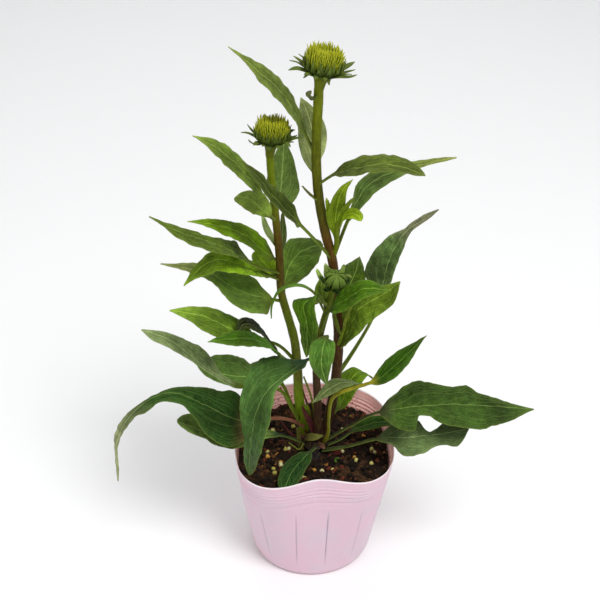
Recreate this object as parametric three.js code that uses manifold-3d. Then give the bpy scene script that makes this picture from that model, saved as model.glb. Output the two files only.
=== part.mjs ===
// A young purple coneflower in a soft nursery pot: three stems from one crown, two opening flower
// heads, a side bud, and lance-shaped leaves on the stems and round the base.
// Millimetres, +Z up. The origin is the middle of the pot's underside, and the pot stands on Z = 0.
import * as THREE from "three";
import { mergeVertices } from "three/addons/utils/BufferGeometryUtils.js";
import Module from "manifold-3d";

const wasm = await Module();
wasm.setup();

const TURN = 2 * Math.PI;
const deg = (d) => (d * Math.PI) / 180;
const GAP = 0.3; // the clearance that any two pieces keep

// ---- Driving dimensions -------------------------------------------------------------------

// The pot is blown film: a tapered wall, three rings under the rim and shallow upright creases.
const POT = {
  height: 90,
  baseRadius: 40.6,
  rimRadius: 52.5,
  wall: 1,
  floor: 1.2,
  footRound: 3.5,
  sides: 42,
  creases: 14,
  creaseDepth: 0.7,
  levels: [0.09, 0.3, 0.5, 0.71],
  rings: [69, 75, 81],
  ringDepth: 0.6,
};
// The soft rim is pressed towards a square and its edge rides up and down.
const RIM = { squareness: 5.2, backLift: 3.5 };
// In front it is pushed in and lifted, and on both sides of that it sags outward.
const PUSH = { angle: deg(-84), inward: 6.5, up: 2.5 };
const SAGS = [
  { angle: deg(-128), outward: 2, down: 4.5 },
  { angle: deg(-44), outward: 1.5, down: 3 },
];
// The wall swells a little between floor and rim, most on its left, and the floor sits askew.
const BULGE = { out: 1.4, left: 0.3, fullness: 0.7 };
const SLUMP = { x: -1.5, y: -1 };
const DRAIN = { count: 6, radius: 3.2, circle: 24 };

const SOIL = { level: 77, mound: 3, relief: 0.9, rings: 6, sides: 30, clear: 2.2 * GAP };
const CROWN = { x: 1, y: 3, foot: 54, top: 89, radius: 10, sides: 12 };

const BLADE = 0.7; // leaf thickness
const RIB = 0.5; // how far the midrib stands out below the blade at its foot
const PETIOLE = { halfWidth: 1.1, thickness: 1.8, sheath: 0.7, tipShare: 0.3, tipLength: 0.08 };
const STATION = 10; // spacing of a blade's cross-sections
const PETIOLE_STATION = 18; // and of its petiole's

// ---- Solids -------------------------------------------------------------------------------

const vec = (p) => new THREE.Vector3(...p);
const mix = (a, b, t) => a + (b - a) * t;
const clamp01 = (t) => Math.min(1, Math.max(0, t));
const smooth = (t) => t * t * (3 - 2 * t);

function random(seed) {
  let s = seed >>> 0;
  return () => {
    s = (s * 1664525 + 1013904223) >>> 0;
    return s / 4294967296;
  };
}

// Rings of points, each with the same count, joined into one closed skin with a point at each end.
// Each four-sided patch is split along the diagonal that keeps clear of a raised point.
function skin(rings, raised = () => false) {
  const n = rings[0].length;
  const middle = (ring) =>
    ring.reduce((sum, p) => sum.add(p), new THREE.Vector3()).divideScalar(n);
  const points = [...rings.flat(), middle(rings[0]), middle(rings[rings.length - 1])];
  const [first, last] = [points.length - 2, points.length - 1];
  const faces = [];
  for (let i = 0; i < rings.length - 1; i++)
    for (let j = 0; j < n; j++) {
      const a = i * n + j;
      const b = i * n + ((j + 1) % n);
      if (raised(i, j)) faces.push(a, b, a + n, b, b + n, a + n);
      else faces.push(a, b, b + n, a, b + n, a + n);
    }
  for (let j = 0; j < n; j++) {
    const k = (j + 1) % n;
    const end = (rings.length - 1) * n;
    faces.push(first, k, j, last, end + j, end + k);
  }
  const geometry = new THREE.BufferGeometry().setFromPoints(points);
  geometry.setIndex(faces);
  return geometry;
}

function solid(geometry) {
  const bare = geometry.clone();
  bare.deleteAttribute("normal");
  bare.deleteAttribute("uv");
  const merged = mergeVertices(bare, 1e-4);
  const made = new wasm.Manifold(
    new wasm.Mesh({
      numProp: 3,
      vertProperties: new Float32Array(merged.attributes.position.array),
      triVerts: new Uint32Array(merged.index.array),
    }),
  );
  return made.volume() < 0 ? solid(reversed(merged)) : made;
}

function reversed(geometry) {
  const index = geometry.index.array;
  for (let i = 0; i < index.length; i += 3)
    [index[i + 1], index[i + 2]] = [index[i + 2], index[i + 1]];
  return geometry;
}

// The largest body of a solid: what a cut leaves loose is dropped.
function mainBody(s) {
  return s.decompose().reduce((best, b) => (b.volume() > best.volume() ? b : best));
}

const fuse = (pieces) => mainBody(pieces.reduce((sum, p) => sum.add(p)));

const part = new THREE.Group();

function place(name, s, look) {
  const m = s.getMesh();
  const geometry = new THREE.BufferGeometry();
  geometry.setAttribute("position", new THREE.BufferAttribute(m.vertProperties, 3));
  geometry.setIndex(new THREE.BufferAttribute(m.triVerts, 1));
  geometry.computeVertexNormals();
  const mesh = new THREE.Mesh(geometry, look);
  mesh.name = name;
  part.add(mesh);
}

const paint = (color, roughness) =>
  new THREE.MeshStandardMaterial({ color, roughness, metalness: 0 });
const LOOK = {
  pot: paint(0xe3bccd, 0.45),
  soil: paint(0x2a1d17, 0.95),
  crown: paint(0x4a2f2c, 0.8),
  tallStem: paint(0x5a4a22, 0.6),
  greenStem: paint(0x6c7a2c, 0.6),
  leaf: paint(0x3a6a26, 0.6),
  youngLeaf: paint(0x6f9f35, 0.6),
  bract: paint(0x4f7a2e, 0.65),
  florets: paint(0xb3b93a, 0.6),
};

// ---- Pot ----------------------------------------------------------------------------------

// The rim's own radius and height at an angle, where -90 degrees is the front.
function rimAt(angle) {
  const near = (place, sharpness) => Math.max(0, Math.cos(angle - place)) ** sharpness;
  const push = near(PUSH.angle, 7);
  const sagging = (by) => SAGS.reduce((sum, sag) => sum + sag[by] * near(sag.angle, 6), 0);
  const back = Math.max(0, Math.sin(angle)) ** 2;
  const corner = (1 - Math.cos(4 * angle)) / 2;
  return {
    radius:
      POT.rimRadius + RIM.squareness * corner - PUSH.inward * push + sagging("outward"),
    height: POT.height + RIM.backLift * back - sagging("down") + PUSH.up * push,
  };
}

// The outside of the pot's wall at an angle, for a share of the way up from 0 to 1.
function potWall(angle, share, inset = 0) {
  const rim = rimAt(angle);
  const z = share * rim.height;
  const foot = POT.footRound;
  const rounding = z < foot ? foot - Math.sqrt(foot * foot - (foot - z) ** 2) : 0;
  const grow = share ** 1.05;
  const side = 1 - BULGE.left * Math.cos(angle);
  const bulge = BULGE.out * side * Math.sin(Math.PI * clamp01(share)) ** BULGE.fullness;
  const radius = mix(POT.baseRadius, rim.radius, grow) + bulge - rounding - inset;
  const x = SLUMP.x * (1 - share) + radius * Math.cos(angle);
  return new THREE.Vector3(x, SLUMP.y * (1 - share) + radius * Math.sin(angle), z);
}

function potRing(share, inset, z) {
  return Array.from({ length: POT.sides }, (_, j) => {
    const p = potWall((TURN * j) / POT.sides, share, inset(j));
    if (z !== undefined) p.z = z;
    return p;
  });
}

function makePot() {
  const even = () => 0;
  const creased = (j) => (j % (POT.sides / POT.creases) === 0 ? POT.creaseDepth : 0);
  const outside = [potRing(0, even), potRing(0.012, even), potRing(0.034, even)];
  for (const share of POT.levels) outside.push(potRing(share, creased));
  for (const z of POT.rings) {
    outside.push(potRing((z - 2) / POT.height, even));
    outside.push(potRing(z / POT.height, () => -POT.ringDepth));
  }
  outside.push(potRing((POT.height - 7) / POT.height, even), potRing(1, even));
  const inner = () => POT.wall;
  const inside = [1, 0.82, 0.5, 0.3, 0.09].map((share) => potRing(share, inner));
  inside.push(potRing(0.03, inner, POT.floor));
  const shell = solid(skin([...outside, ...inside]));
  const drains = Array.from({ length: DRAIN.count }, (_, i) => {
    const hole = new THREE.CylinderGeometry(DRAIN.radius, DRAIN.radius, 4, 8);
    hole.rotateX(Math.PI / 2);
    const angle = (TURN * i) / DRAIN.count;
    hole.translate(DRAIN.circle * Math.cos(angle), DRAIN.circle * Math.sin(angle), 0);
    return solid(hole);
  });
  return drains.reduce((pot, hole) => pot.subtract(hole), shell);
}

// ---- Soil and crown -----------------------------------------------------------------------

function soilHeight(x, y) {
  const out = Math.hypot(x - CROWN.x, y - CROWN.y);
  const lumps =
    Math.sin(0.31 * x + 1.3) * Math.cos(0.27 * y - 0.4) +
    0.6 * Math.sin(0.73 * x - 0.58 * y) +
    0.4 * Math.cos(1.1 * y + 0.9 * x + 2);
  return SOIL.level + SOIL.mound * Math.exp(-((out / 18) ** 2)) + SOIL.relief * lumps;
}

// The soil's outline on the pot's inner wall at a height. Both are many-sided, so it keeps in.
function soilEdge(angle, z) {
  const share = z / rimAt(angle).height;
  return potWall(angle, share, POT.wall + SOIL.clear).setZ(z);
}

function makeSoil() {
  const angles = Array.from({ length: SOIL.sides }, (_, j) => (TURN * j) / SOIL.sides);
  const rings = [POT.floor + GAP + 3.5, 27, 45].map((z) => angles.map((a) => soilEdge(a, z)));
  rings.unshift(angles.map((a) => soilEdge(a, 8).multiplyScalar(0.9).setZ(POT.floor + GAP)));
  for (let i = SOIL.rings; i > 0; i--)
    rings.push(
      angles.map((a) => {
        const p = soilEdge(a, SOIL.level).multiplyScalar(i / SOIL.rings);
        return p.setZ(soilHeight(p.x, p.y));
      }),
    );
  return solid(skin(rings));
}

// The crown is the short woody base that the stems and the lower leaves grow from.
function crownBody(grow) {
  const { x, y, foot, top, radius, sides } = CROWN;
  const heights = [foot, foot + 6, 68, 78, 82, 86, top];
  const widths = [0.35, 0.8, 0.92, 1, 1.02, 0.82, 0.35];
  const rings = heights.map((z, i) =>
    Array.from({ length: sides }, (_, j) => {
      const a = (TURN * j) / sides;
      const knobbly = 1 + (i > 3 ? 0.09 * Math.sin(3 * a + i) : 0);
      const r = radius * widths[i] * knobbly + grow;
      return new THREE.Vector3(x + r * Math.cos(a), y + r * Math.sin(a), z);
    }),
  );
  rings[0].forEach((p) => (p.z -= grow));
  rings[rings.length - 1].forEach((p) => (p.z += grow));
  return solid(skin(rings));
}

// ---- Stems --------------------------------------------------------------------------------

// Each stem is a line of points up from the crown, with its radius at the foot, middle and top.
const STEMS = {
  tall: {
    line: [[5, 5, 80], [11, 5, 108], [14, 3, 137], [15, 1, 162], [13, 0, 196], [10.3, 0, 223],
      [5, 1, 246], [1, 2, 271], [-0.2, 2, 296], [0.7, 1, 325], [0.9, 0, 332.2]],
    radii: [3.4, 2.9, 2.7],
    look: LOOK.tallStem,
  },
  short: {
    line: [[-5, 8, 80], [-10, 9, 112], [-11, 9, 136], [-13, 8, 161], [-17, 8, 179],
      [-21, 8, 197], [-22, 8, 224], [-24, 8, 251], [-26, 8, 274], [-26.8, 7, 289.7]],
    radii: [3.6, 2.5, 2.2],
    look: LOOK.greenStem,
  },
  middle: {
    line: [[3, -1, 80], [2, -4, 122], [1, -6, 147], [2, -8, 168], [5, -9, 186], [9, -10, 203],
      [11, -11, 213.5]],
    radii: [2.9, 2.4, 1.8],
    look: LOOK.greenStem,
  },
};

const curveOf = (line) => new THREE.CatmullRomCurve3(line.map(vec), false, "centripetal");

// A round stalk along a line. Its radius runs evenly through the given radii.
function stalk(line, radii, steps, sides, grow = 0) {
  const curve = curveOf(line);
  const rings = [];
  for (let i = 0; i <= steps; i++) {
    const t = i / steps;
    const at = t * (radii.length - 1);
    const low = Math.min(Math.floor(at), radii.length - 2);
    const r = mix(radii[low], radii[low + 1], at - low) + grow;
    const tangent = curve.getTangentAt(t);
    const side = new THREE.Vector3(0, 1, 0).cross(tangent).normalize();
    const other = tangent.clone().cross(side);
    const centre = curve.getPointAt(t);
    rings.push(
      Array.from({ length: sides }, (_, j) => {
        const a = (TURN * j) / sides;
        return centre
          .clone()
          .addScaledVector(side, r * Math.cos(a))
          .addScaledVector(other, r * Math.sin(a));
      }),
    );
  }
  return solid(skin(rings));
}

const stemBody = (name, grow = 0) => stalk(STEMS[name].line, STEMS[name].radii, 11, 8, grow);

// The point on a stem's line at a height.
function onStem(name, height) {
  const { line } = STEMS[name];
  const above = line.findIndex((p) => p[2] >= height);
  const [a, b] = [line[above - 1], line[above]];
  return vec(a).lerp(vec(b), (height - a[2]) / (b[2] - a[2])).toArray();
}

// ---- Leaves -------------------------------------------------------------------------------

// A leaf's line runs along its petiole and midrib to its tip. On a stem it starts at the height from.
// width is the blade's widest, petiole the length before the blade, belly where along the blade
// it is widest, taper how fast it narrows. roll turns the upper face about the midrib, in degrees
// at the base and the tip, and fold lifts each half. out is the heading that the roll is measured
// from, where it isn't the line's own. edges gives a cut blade its left and right half widths.
const LEAVES = [
  { name: "leaf_tall_1", on: "tall", from: 292, width: 16, petiole: 12, belly: 0.35, taper: 2.4,
    roll: [25, 35],
    line: [[-9, 8, 308], [-20, 6, 329], [-33, 0, 344], [-47, -8, 360]] },
  { name: "leaf_tall_2", on: "tall", from: 268, width: 17, petiole: 12, belly: 0.5, out: 90,
    roll: [0, 10],
    line: [[-2, 16, 283], [-2, 26, 295], [-5, 32, 306], [-9, 33, 315]] },
  { name: "leaf_tall_3", on: "tall", from: 274, width: 18, petiole: 11, belly: 0.52, taper: 1.6,
    roll: [-10, -15], fold: 16,
    line: [[9.3, -6, 284.1], [19.5, -14, 291.5], [32.9, -20, 297], [46, -25, 298], [59, -28, 294.6]] },
  { name: "leaf_tall_4", on: "tall", from: 263, width: 3, petiole: 4, roll: [20, 20],
    line: [[-5, -3, 272], [-8, -5, 277]] },
  { name: "leaf_tall_5", on: "tall", from: 226, width: 17, petiole: 42, belly: 0.32, roll: [35, 35],
    fold: 18,
    line: [[-0.3, -12, 245], [-12, -20, 263], [-25, -26, 281], [-33, -30, 295], [-42, -30, 305]] },
  { name: "leaf_tall_6", on: "tall", from: 224, width: 14, petiole: 26, roll: [-35, -20],
    line: [[18.5, 12, 243], [24, 18, 253], [31, 23, 262.5], [42, 27, 268], [56.4, 27, 273],
      [69, 25, 277.6], [83, 22, 282.1]],
    edges: [[0, 1.1, 1.1], [0.13, 2, 5], [0.25, 5.5, 7], [0.38, 6.4, 6.8], [0.5, 6, 6], [0.65, 4, 4],
      [0.8, 2, 2], [1, 0.4, 0.4]] },
  { name: "leaf_tall_7", on: "tall", from: 135, width: 28, petiole: 58, roll: [-15, -25], fold: 28,
    line: [[27, 18, 148], [38, 30, 163], [44, 38, 180], [49, 42, 202], [59, 42, 222], [69, 40, 231],
      [77, 38, 239]],
    edges: [[0, 1.5, 1.5], [0.12, 9, 6], [0.25, 12, 7], [0.4, 10.6, 7], [0.55, 7, 6.4], [0.7, 1.8, 3.6],
      [0.85, 2.4, 1.6], [1, 0.4, 0.4]] },
  { name: "leaf_tall_8", on: "tall", from: 192, width: 20, petiole: 8, roll: [-30, -30],
    line: [[20, 16, 193], [26, 36, 194], [30, 54, 196]] },
  { name: "leaf_tall_9", on: "tall", from: 156, width: 24, petiole: 8, roll: [-40, -40],
    line: [[18, -3, 168], [23.5, -2, 182], [27.5, -2, 191], [34.5, -2.5, 197], [42.5, -3, 203],
      [51, -4, 212]],
    edges: [[0, 1.1, 1.1], [0.17, 6.7, 6.7], [0.33, 10.4, 10.4], [0.5, 11.6, 11.9], [0.67, 11, 11],
      [0.83, 4.8, 10], [0.93, 2, 6], [1, 0.4, 0.4]] },
  { name: "leaf_tall_10", on: "tall", from: 331, width: 4, petiole: 3, belly: 0.5, roll: [0, 0],
    line: [[-3, -4, 329], [-5, -5, 332], [-3, -5, 334]] },
  { name: "leaf_short_1", on: "short", from: 254, width: 19, petiole: 16, roll: [35, 30],
    line: [[-34, -2, 273], [-44, -8, 290], [-55, -12, 303], [-68, -14, 312]] },
  { name: "leaf_short_2", on: "short", from: 250, width: 20, petiole: 6, out: 90, roll: [0, 0],
    line: [[-21, 17, 262], [-20, 25, 272], [-19, 34, 288]],
    edges: [[0, 2, 3], [0.12, 7, 9], [0.3, 9, 11], [0.5, 8, 9], [0.75, 5.5, 6], [0.9, 3, 3],
      [1, 0.4, 0.4]] },
  { name: "leaf_short_3", on: "short", from: 247, width: 14, petiole: 10, belly: 0.6, taper: 1.1,
    roll: [-45, -50],
    line: [[-31, -8, 263], [-37, -20, 276], [-44, -31, 284]] },
  { name: "leaf_short_4", on: "short", from: 218, width: 19, petiole: 5, belly: 0.3, roll: [25, 10],
    line: [[-33.5, 7, 229], [-41.5, 6, 237.5], [-49.5, 4, 243], [-60, 2, 247.5], [-75, -4, 253.5]] },
  { name: "leaf_short_5", on: "short", from: 211, width: 21, petiole: 33, roll: [15, 15],
    line: [[-35, -9, 225.5], [-51.5, -21, 244.5], [-68, -27, 255], [-80.5, -29, 261], [-93, -30, 270.5]],
    edges: [[0, 1.5, 4], [0.05, 2, 11.5], [0.12, 4, 12], [0.2, 6, 10.5], [0.35, 10, 8], [0.51, 9.8, 6],
      [0.67, 7, 4], [0.84, 4, 2.6], [1, 0.4, 0.4]] },
  { name: "leaf_short_6", on: "short", from: 206, width: 20, petiole: 12, roll: [15, 15],
    line: [[-34, -3, 218], [-51, -12, 230.5], [-60, -14, 232.5], [-68, -13.5, 227], [-79, -12, 214]],
    edges: [[0, 1.5, 1.5], [0.14, 5.5, 5.5], [0.28, 9, 9], [0.42, 10, 10], [0.55, 9.5, 8.6],
      [0.64, 8.4, 5.6], [0.75, 6, 3.6], [0.87, 3, 2], [1, 0.4, 0.4]] },
  { name: "leaf_short_7", on: "short", from: 190, width: 32, petiole: 9, roll: [20, 0],
    line: [[-42, -1, 201.5], [-53, -3, 209], [-62, -2, 215], [-76, 1, 217.5], [-94, 4, 220]],
    edges: [[0, 2, 3], [0.07, 12, 8], [0.15, 15, 13], [0.25, 17.5, 15.5], [0.35, 17, 15.5],
      [0.5, 7.5, 13], [0.7, 3.5, 6.5], [0.87, 3, 2.4], [1, 0.4, 0.4]] },
  { name: "leaf_short_8", on: "short", from: 227, width: 5, petiole: 4, roll: [0, 0],
    line: [[-30, 16, 238], [-33, 20, 249]] },
  { name: "leaf_short_9", on: "short", from: 219, width: 5, petiole: 5, out: 90, roll: [0, 0],
    line: [[-20, 18, 232], [-20, 24, 245]] },
  { name: "leaf_short_10", on: "short", from: 206, width: 14, petiole: 4, belly: 0.55, taper: 1.4,
    roll: [0, 0],
    line: [[-29.5, 14, 212], [-34, 20, 214], [-37, 25, 217]] },
  { name: "leaf_short_11", on: "short", from: 193, width: 25, petiole: 6, out: 80, roll: [-10, -10],
    line: [[-19, 13, 200.5], [-17.5, 20, 204.5], [-14.5, 26, 208], [-10.5, 31, 211],
      [-4, 36, 212.3], [5, 41, 212.8]],
    edges: [[0, 2, 2], [0.17, 6, 11], [0.33, 6.5, 13], [0.5, 9, 13.7], [0.67, 11.4, 14], [0.84, 9, 9.9],
      [0.95, 6.5, 4], [1, 3, 1]] },
  { name: "leaf_short_12", on: "short", from: 143, width: 24, petiole: 40, roll: [40, 30],
    line: [[-24, 0, 163], [-37.5, -6, 170.5], [-48.5, -12, 180.5], [-67, -20, 197], [-87, -22, 203]],
    edges: [[0, 1.1, 1.1], [0.17, 5, 8], [0.33, 8.5, 9.7], [0.5, 11, 9], [0.67, 9.6, 6.6],
      [0.83, 4.8, 4], [1, 0.4, 0.4]] },
  { name: "leaf_short_13", on: "short", from: 138, width: 19, petiole: 38, roll: [15, 10],
    line: [[-22, -14, 165], [-35, -26, 184], [-50, -34, 190.5], [-64, -36, 190]] },
  { name: "leaf_short_14", on: "short", from: 133, width: 16, petiole: 26, roll: [30, 20],
    line: [[-27, -8.6, 166.4], [-33, -9.5, 178], [-39, -13, 186], [-43.5, -17, 189.5], [-47, -19, 184.5]],
    edges: [[0, 1.3, 1.3], [0.2, 2, 5], [0.4, 3.5, 9.5], [0.6, 4, 9], [0.8, 3.5, 5.2], [0.93, 2, 3.5],
      [1, 0.5, 0.5]] },
  { name: "leaf_middle_1", on: "middle", from: 178, width: 18, petiole: 26, roll: [-30, -30],
    line: [[8.5, -19, 201], [18, -26.5, 213.5], [28.5, -31, 223.5], [43, -35, 225]] },
  { name: "leaf_middle_2", on: "middle", from: 198, width: 19, petiole: 8, out: -110, roll: [-45, 0],
    line: [[-1, -17, 209], [-7, -25, 208], [-5, -31, 197.5], [-5.5, -33, 176.5]],
    edges: [[0, 2, 3], [0.1, 3, 9], [0.2, 6, 14], [0.3, 9, 10.5], [0.42, 9.7, 7.2], [0.6, 8, 6],
      [0.8, 4.6, 3.9], [1, 0.4, 0.4]] },
  { name: "leaf_middle_3", on: "middle", from: 173, width: 15, petiole: 30, roll: [0, 0],
    line: [[7, -26, 187], [4, -44, 191], [3, -50, 183.5], [6.5, -54, 171]] },
  { name: "leaf_middle_4", on: "middle", from: 192, width: 4, petiole: 20, roll: [0, 0],
    line: [[-1, -10, 208], [-11, -18, 218], [-21, -20, 216], [-26, -20, 206], [-27, -19, 195]] },
  { name: "leaf_middle_5", on: "middle", from: 194, width: 9, petiole: 5, out: 90, roll: [0, 0],
    line: [[4.5, -6, 203], [3.5, -5.5, 210], [4, -5, 217]] },
  { name: "leaf_middle_6", on: "tall", from: 122, width: 13, petiole: 18, roll: [0, 0],
    line: [[20, 1, 127], [27, -4, 133], [27, -12, 141], [14, -18, 145], [-2, -23, 134]] },
  { name: "leaf_base_1", on: "middle", from: 156, width: 24, petiole: 14, roll: [10, 0],
    line: [[-4, -14, 161.5], [-10.5, -24, 163.5], [-17.5, -32, 163], [-26, -38, 159],
      [-32, -41.5, 152], [-36, -43, 141.5], [-40, -41, 114], [-42.5, -35, 84.5]],
    edges: [[0, 1.1, 1.1], [0.06, 3.5, 7.5], [0.13, 4, 16], [0.2, 3.5, 20.5], [0.28, 4.5, 21.5],
      [0.36, 9.5, 18], [0.45, 13.5, 15], [0.55, 14.3, 12.2], [0.65, 13.5, 10.2], [0.75, 10.6, 8.3],
      [0.85, 7.3, 6.8], [0.94, 4, 4.5], [1, 0.4, 0.4]] },
  { name: "leaf_base_2", on: "crown", width: 38, petiole: 34, roll: [50, 20],
    line: [[-6.5, 2, 94.5], [-13.5, -3, 103.3], [-20, -6.5, 108.3], [-28, -11, 112], [-48, -18, 116],
      [-69, -24, 133], [-89, -28, 146], [-107, -32, 140], [-123, -34, 117], [-128, -32, 77]],
    edges: [[0, 1.5, 1.5], [0.08, 10, 10], [0.165, 20, 17.6], [0.25, 19, 13], [0.33, 11, 9.6],
      [0.38, 8.3, 6.4], [0.43, 7.4, 3.6], [0.5, 5, 1.6], [0.57, 6, 1.6], [0.63, 2.6, 2.2],
      [0.74, 2.6, 3], [0.87, 2.6, 2.6], [1, 0.4, 0.4]] },
  { name: "leaf_base_3", on: "crown", width: 26, petiole: 24, roll: [10, 10],
    line: [[-4.5, -2.5, 83], [-16, -6, 92], [-24, -9, 97], [-50, -16, 102], [-70, -22, 110],
      [-87, -26, 122]],
    edges: [[0, 1.5, 1.5], [0.15, 5, 5], [0.3, 9, 9], [0.45, 12, 12], [0.6, 11.2, 13], [0.75, 7.2, 12.5],
      [0.88, 7, 9.5], [0.96, 5, 5.5], [1, 2, 1.5]] },
  { name: "leaf_base_4", on: "crown", width: 15, petiole: 54, roll: [35, 35], fold: 20,
    line: [[-10, 4, 98.5], [-15.5, 4, 111], [-21, 3, 123], [-29, 0.5, 129], [-38, -1.5, 131],
      [-50, -4, 134], [-69, -8, 150.5], [-90, -10, 173], [-107, -10, 181]],
    edges: [[0, 1.3, 1.3], [0.12, 3, 1.3], [0.25, 2.8, 3.1], [0.38, 2.2, 8], [0.5, 2.2, 8.5],
      [0.62, 4, 6.4], [0.75, 6, 4], [0.88, 5.6, 2.6], [1, 0.4, 0.4]] },
  { name: "leaf_base_5", on: "crown", width: 26, petiole: 44, roll: [25, 35],
    line: [[1, 13.5, 84], [-9.5, 15.5, 88], [-15, 15.5, 101.5], [-20.5, 18, 116.5], [-28.5, 21, 122.5],
      [-38.5, 26, 121], [-46, 31, 114.5], [-62, 38, 111.5], [-70, 40, 113.5], [-80, 42, 117]],
    edges: [[0, 1.1, 1.1], [0.15, 5, 5], [0.3, 8, 8.5], [0.43, 8.5, 9.5], [0.57, 7.2, 13.5],
      [0.71, 6.7, 14.2], [0.86, 6, 10.8], [0.95, 3.5, 5], [1, 1, 1]] },
  { name: "leaf_base_6", on: "crown", width: 14, petiole: 86, roll: [-40, -40],
    line: [[5, -2, 82], [9, -9, 98], [9, -15, 116], [12, -20, 137], [25, -24, 147], [39, -26, 155],
      [52, -28, 171], [66, -28, 189]] },
  { name: "leaf_base_7", on: "crown", width: 18, petiole: 20, roll: [0, 0],
    line: [[3, 9, 83], [10, 14, 92], [19, 21, 100], [23, 28, 109], [31, 38, 113], [43, 46, 101]] },
  { name: "leaf_base_8", on: "crown", width: 40, petiole: 52, roll: [-15, -15],
    line: [[6, -1, 84], [15, -3, 93], [24, -6, 102], [39, -12, 117], [57, -18, 126], [85, -22, 132],
      [113, -24, 132], [138, -24, 130]],
    edges: [[0, 2, 2], [0.04, 9, 6], [0.1, 12, 12], [0.17, 16, 18], [0.22, 18, 20], [0.25, 19, 19],
      [0.27, 19.3, 7], [0.33, 18, 8.5], [0.4, 16, 14.5], [0.48, 14, 18.5], [0.56, 14.5, 20.5],
      [0.64, 9, 20], [0.73, 6, 16], [0.83, 3.8, 11], [0.93, 1.6, 4.5], [1, 0.4, 0.4]] },
  { name: "leaf_base_9", on: "crown", width: 30, petiole: 42, roll: [-15, -15],
    line: [[5, -7, 82], [14, -10.5, 86.5], [24, -13, 91], [41, -18, 101], [62, -24, 107], [81, -28, 113],
      [97, -30, 119]],
    edges: [[0, 1.5, 1.5], [0.1, 8, 4.5], [0.2, 13, 7], [0.28, 14, 12.5], [0.34, 14, 15], [0.45, 12, 14.3],
      [0.52, 6, 13.5], [0.58, 3.5, 11.5], [0.66, 6, 9.5], [0.75, 10, 10], [0.86, 10, 14], [0.94, 7, 8.5],
      [1, 0.5, 0.5]] },
  { name: "leaf_base_10", on: "crown", width: 12, petiole: 20, roll: [0, 0],
    line: [[6, -2, 81], [17, -1, 86], [28, 4, 91], [44, 4, 97], [62, 4, 96]] },
  { name: "leaf_base_11", on: "crown", width: 16, petiole: 12, belly: 0.62, taper: 1, roll: [0, 0],
    line: [[3.5, -4, 84], [-1.5, -12, 86.2], [-7.5, -22, 87], [-13.5, -32, 86.5],
      [-17.5, -40, 83.5], [-19.5, -44.5, 79.8]] },
];

const LEAF_DEFAULTS = { belly: 0.4, taper: 2, fold: 12 };
const OPENING = 6; // the blade opens flat over the first sixth of its length
const CUP = 0.12; // how far the blade's halves bend down again, as a share of their width
const WAVE = { height: 1.2, length: 9, offset: 1.7 }; // the margin's wave, set off on the right side
const TEETH = 0.035; // low teeth make every other section wider by this share
const NARROW = 13; // a leaf narrower than this has one strip of faces on each side of its midrib

// How much of its full width the blade has at b, from 0 at its foot to 1 at its tip.
function bladeShare(b, belly, taper) {
  if (b <= 0 || b >= 1) return 0;
  return (b / belly) ** (belly * taper) * ((1 - b) / (1 - belly)) ** ((1 - belly) * taper);
}

// The half width at b on the left side (sign 1) or the right (-1). A cut leaf has its own edges,
// whose rows of [b, left, right] are the leaf's sections.
function halfWidth(leaf, b, sign) {
  if (leaf.edges && b > -1e-6) {
    const row = leaf.edges.find((edge) => edge[0] > b - 1e-3);
    return sign < 0 ? row[2] : row[1];
  }
  const teeth = 1 + TEETH * Math.cos(Math.PI * Math.round(b * leaf.sections) + sign);
  const blade = (leaf.width / 2) * bladeShare(b, leaf.belly, leaf.taper) * teeth;
  const sheath = PETIOLE.sheath * clamp01(-2 * b - 0.6);
  const tip = Math.max(PETIOLE.tipShare, clamp01((1 - b) / PETIOLE.tipLength));
  return Math.max(blade, (PETIOLE.halfWidth + sheath) * tip);
}

// Where along the whole line the sections stand: a few on the petiole, the rest on the blade.
function sectionsOf(leaf, start) {
  const low = Math.max(1, Math.round(leaf.petiole / PETIOLE_STATION));
  const onPetiole = Array.from({ length: low }, (_, i) => (start * i) / low);
  const even = Array.from({ length: leaf.sections + 1 }, (_, i) => i / leaf.sections);
  const onBlade = leaf.edges ? leaf.edges.map((edge) => edge[0]) : even;
  return [...onPetiole, ...onBlade.map((b) => mix(start, 1, b))];
}

// The leaf's own axes at t: its left-hand side and the way its upper face looks.
function leafAxes(leaf, curve, t) {
  const [from, to] = [leaf.line[0], leaf.line[leaf.line.length - 1]];
  const own = Math.atan2(to[1] - from[1], to[0] - from[0]);
  const heading = leaf.out === undefined ? own : deg(leaf.out);
  const level = new THREE.Vector3(-Math.sin(heading), Math.cos(heading), 0);
  const tangent = curve.getTangentAt(t);
  const up = tangent.clone().cross(level).normalize();
  const side = up.clone().cross(tangent);
  const turn = deg(mix(leaf.roll[0], leaf.roll[1], t));
  const turned = (a, b, sign) =>
    a.clone().multiplyScalar(Math.cos(turn)).addScaledVector(b, sign * Math.sin(turn));
  return { left: turned(side, up, -1), normal: turned(up, side, 1) };
}

// How far the blade's middle surface stands off the midrib at u, from -1 to 1 across the leaf.
function bladeLift(leaf, u, w, b, along) {
  const open = smooth(clamp01(b * OPENING));
  const fold = Math.abs(u) * w * (Math.tan(deg(leaf.fold)) * open - CUP * Math.abs(u));
  const phase = along / WAVE.length + (u < 0 ? WAVE.offset : 0);
  const fade = open * clamp01((1 - b) * 4) * clamp01(leaf.width / 20);
  return fold + WAVE.height * fade * u * u * Math.sin(phase);
}

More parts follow.
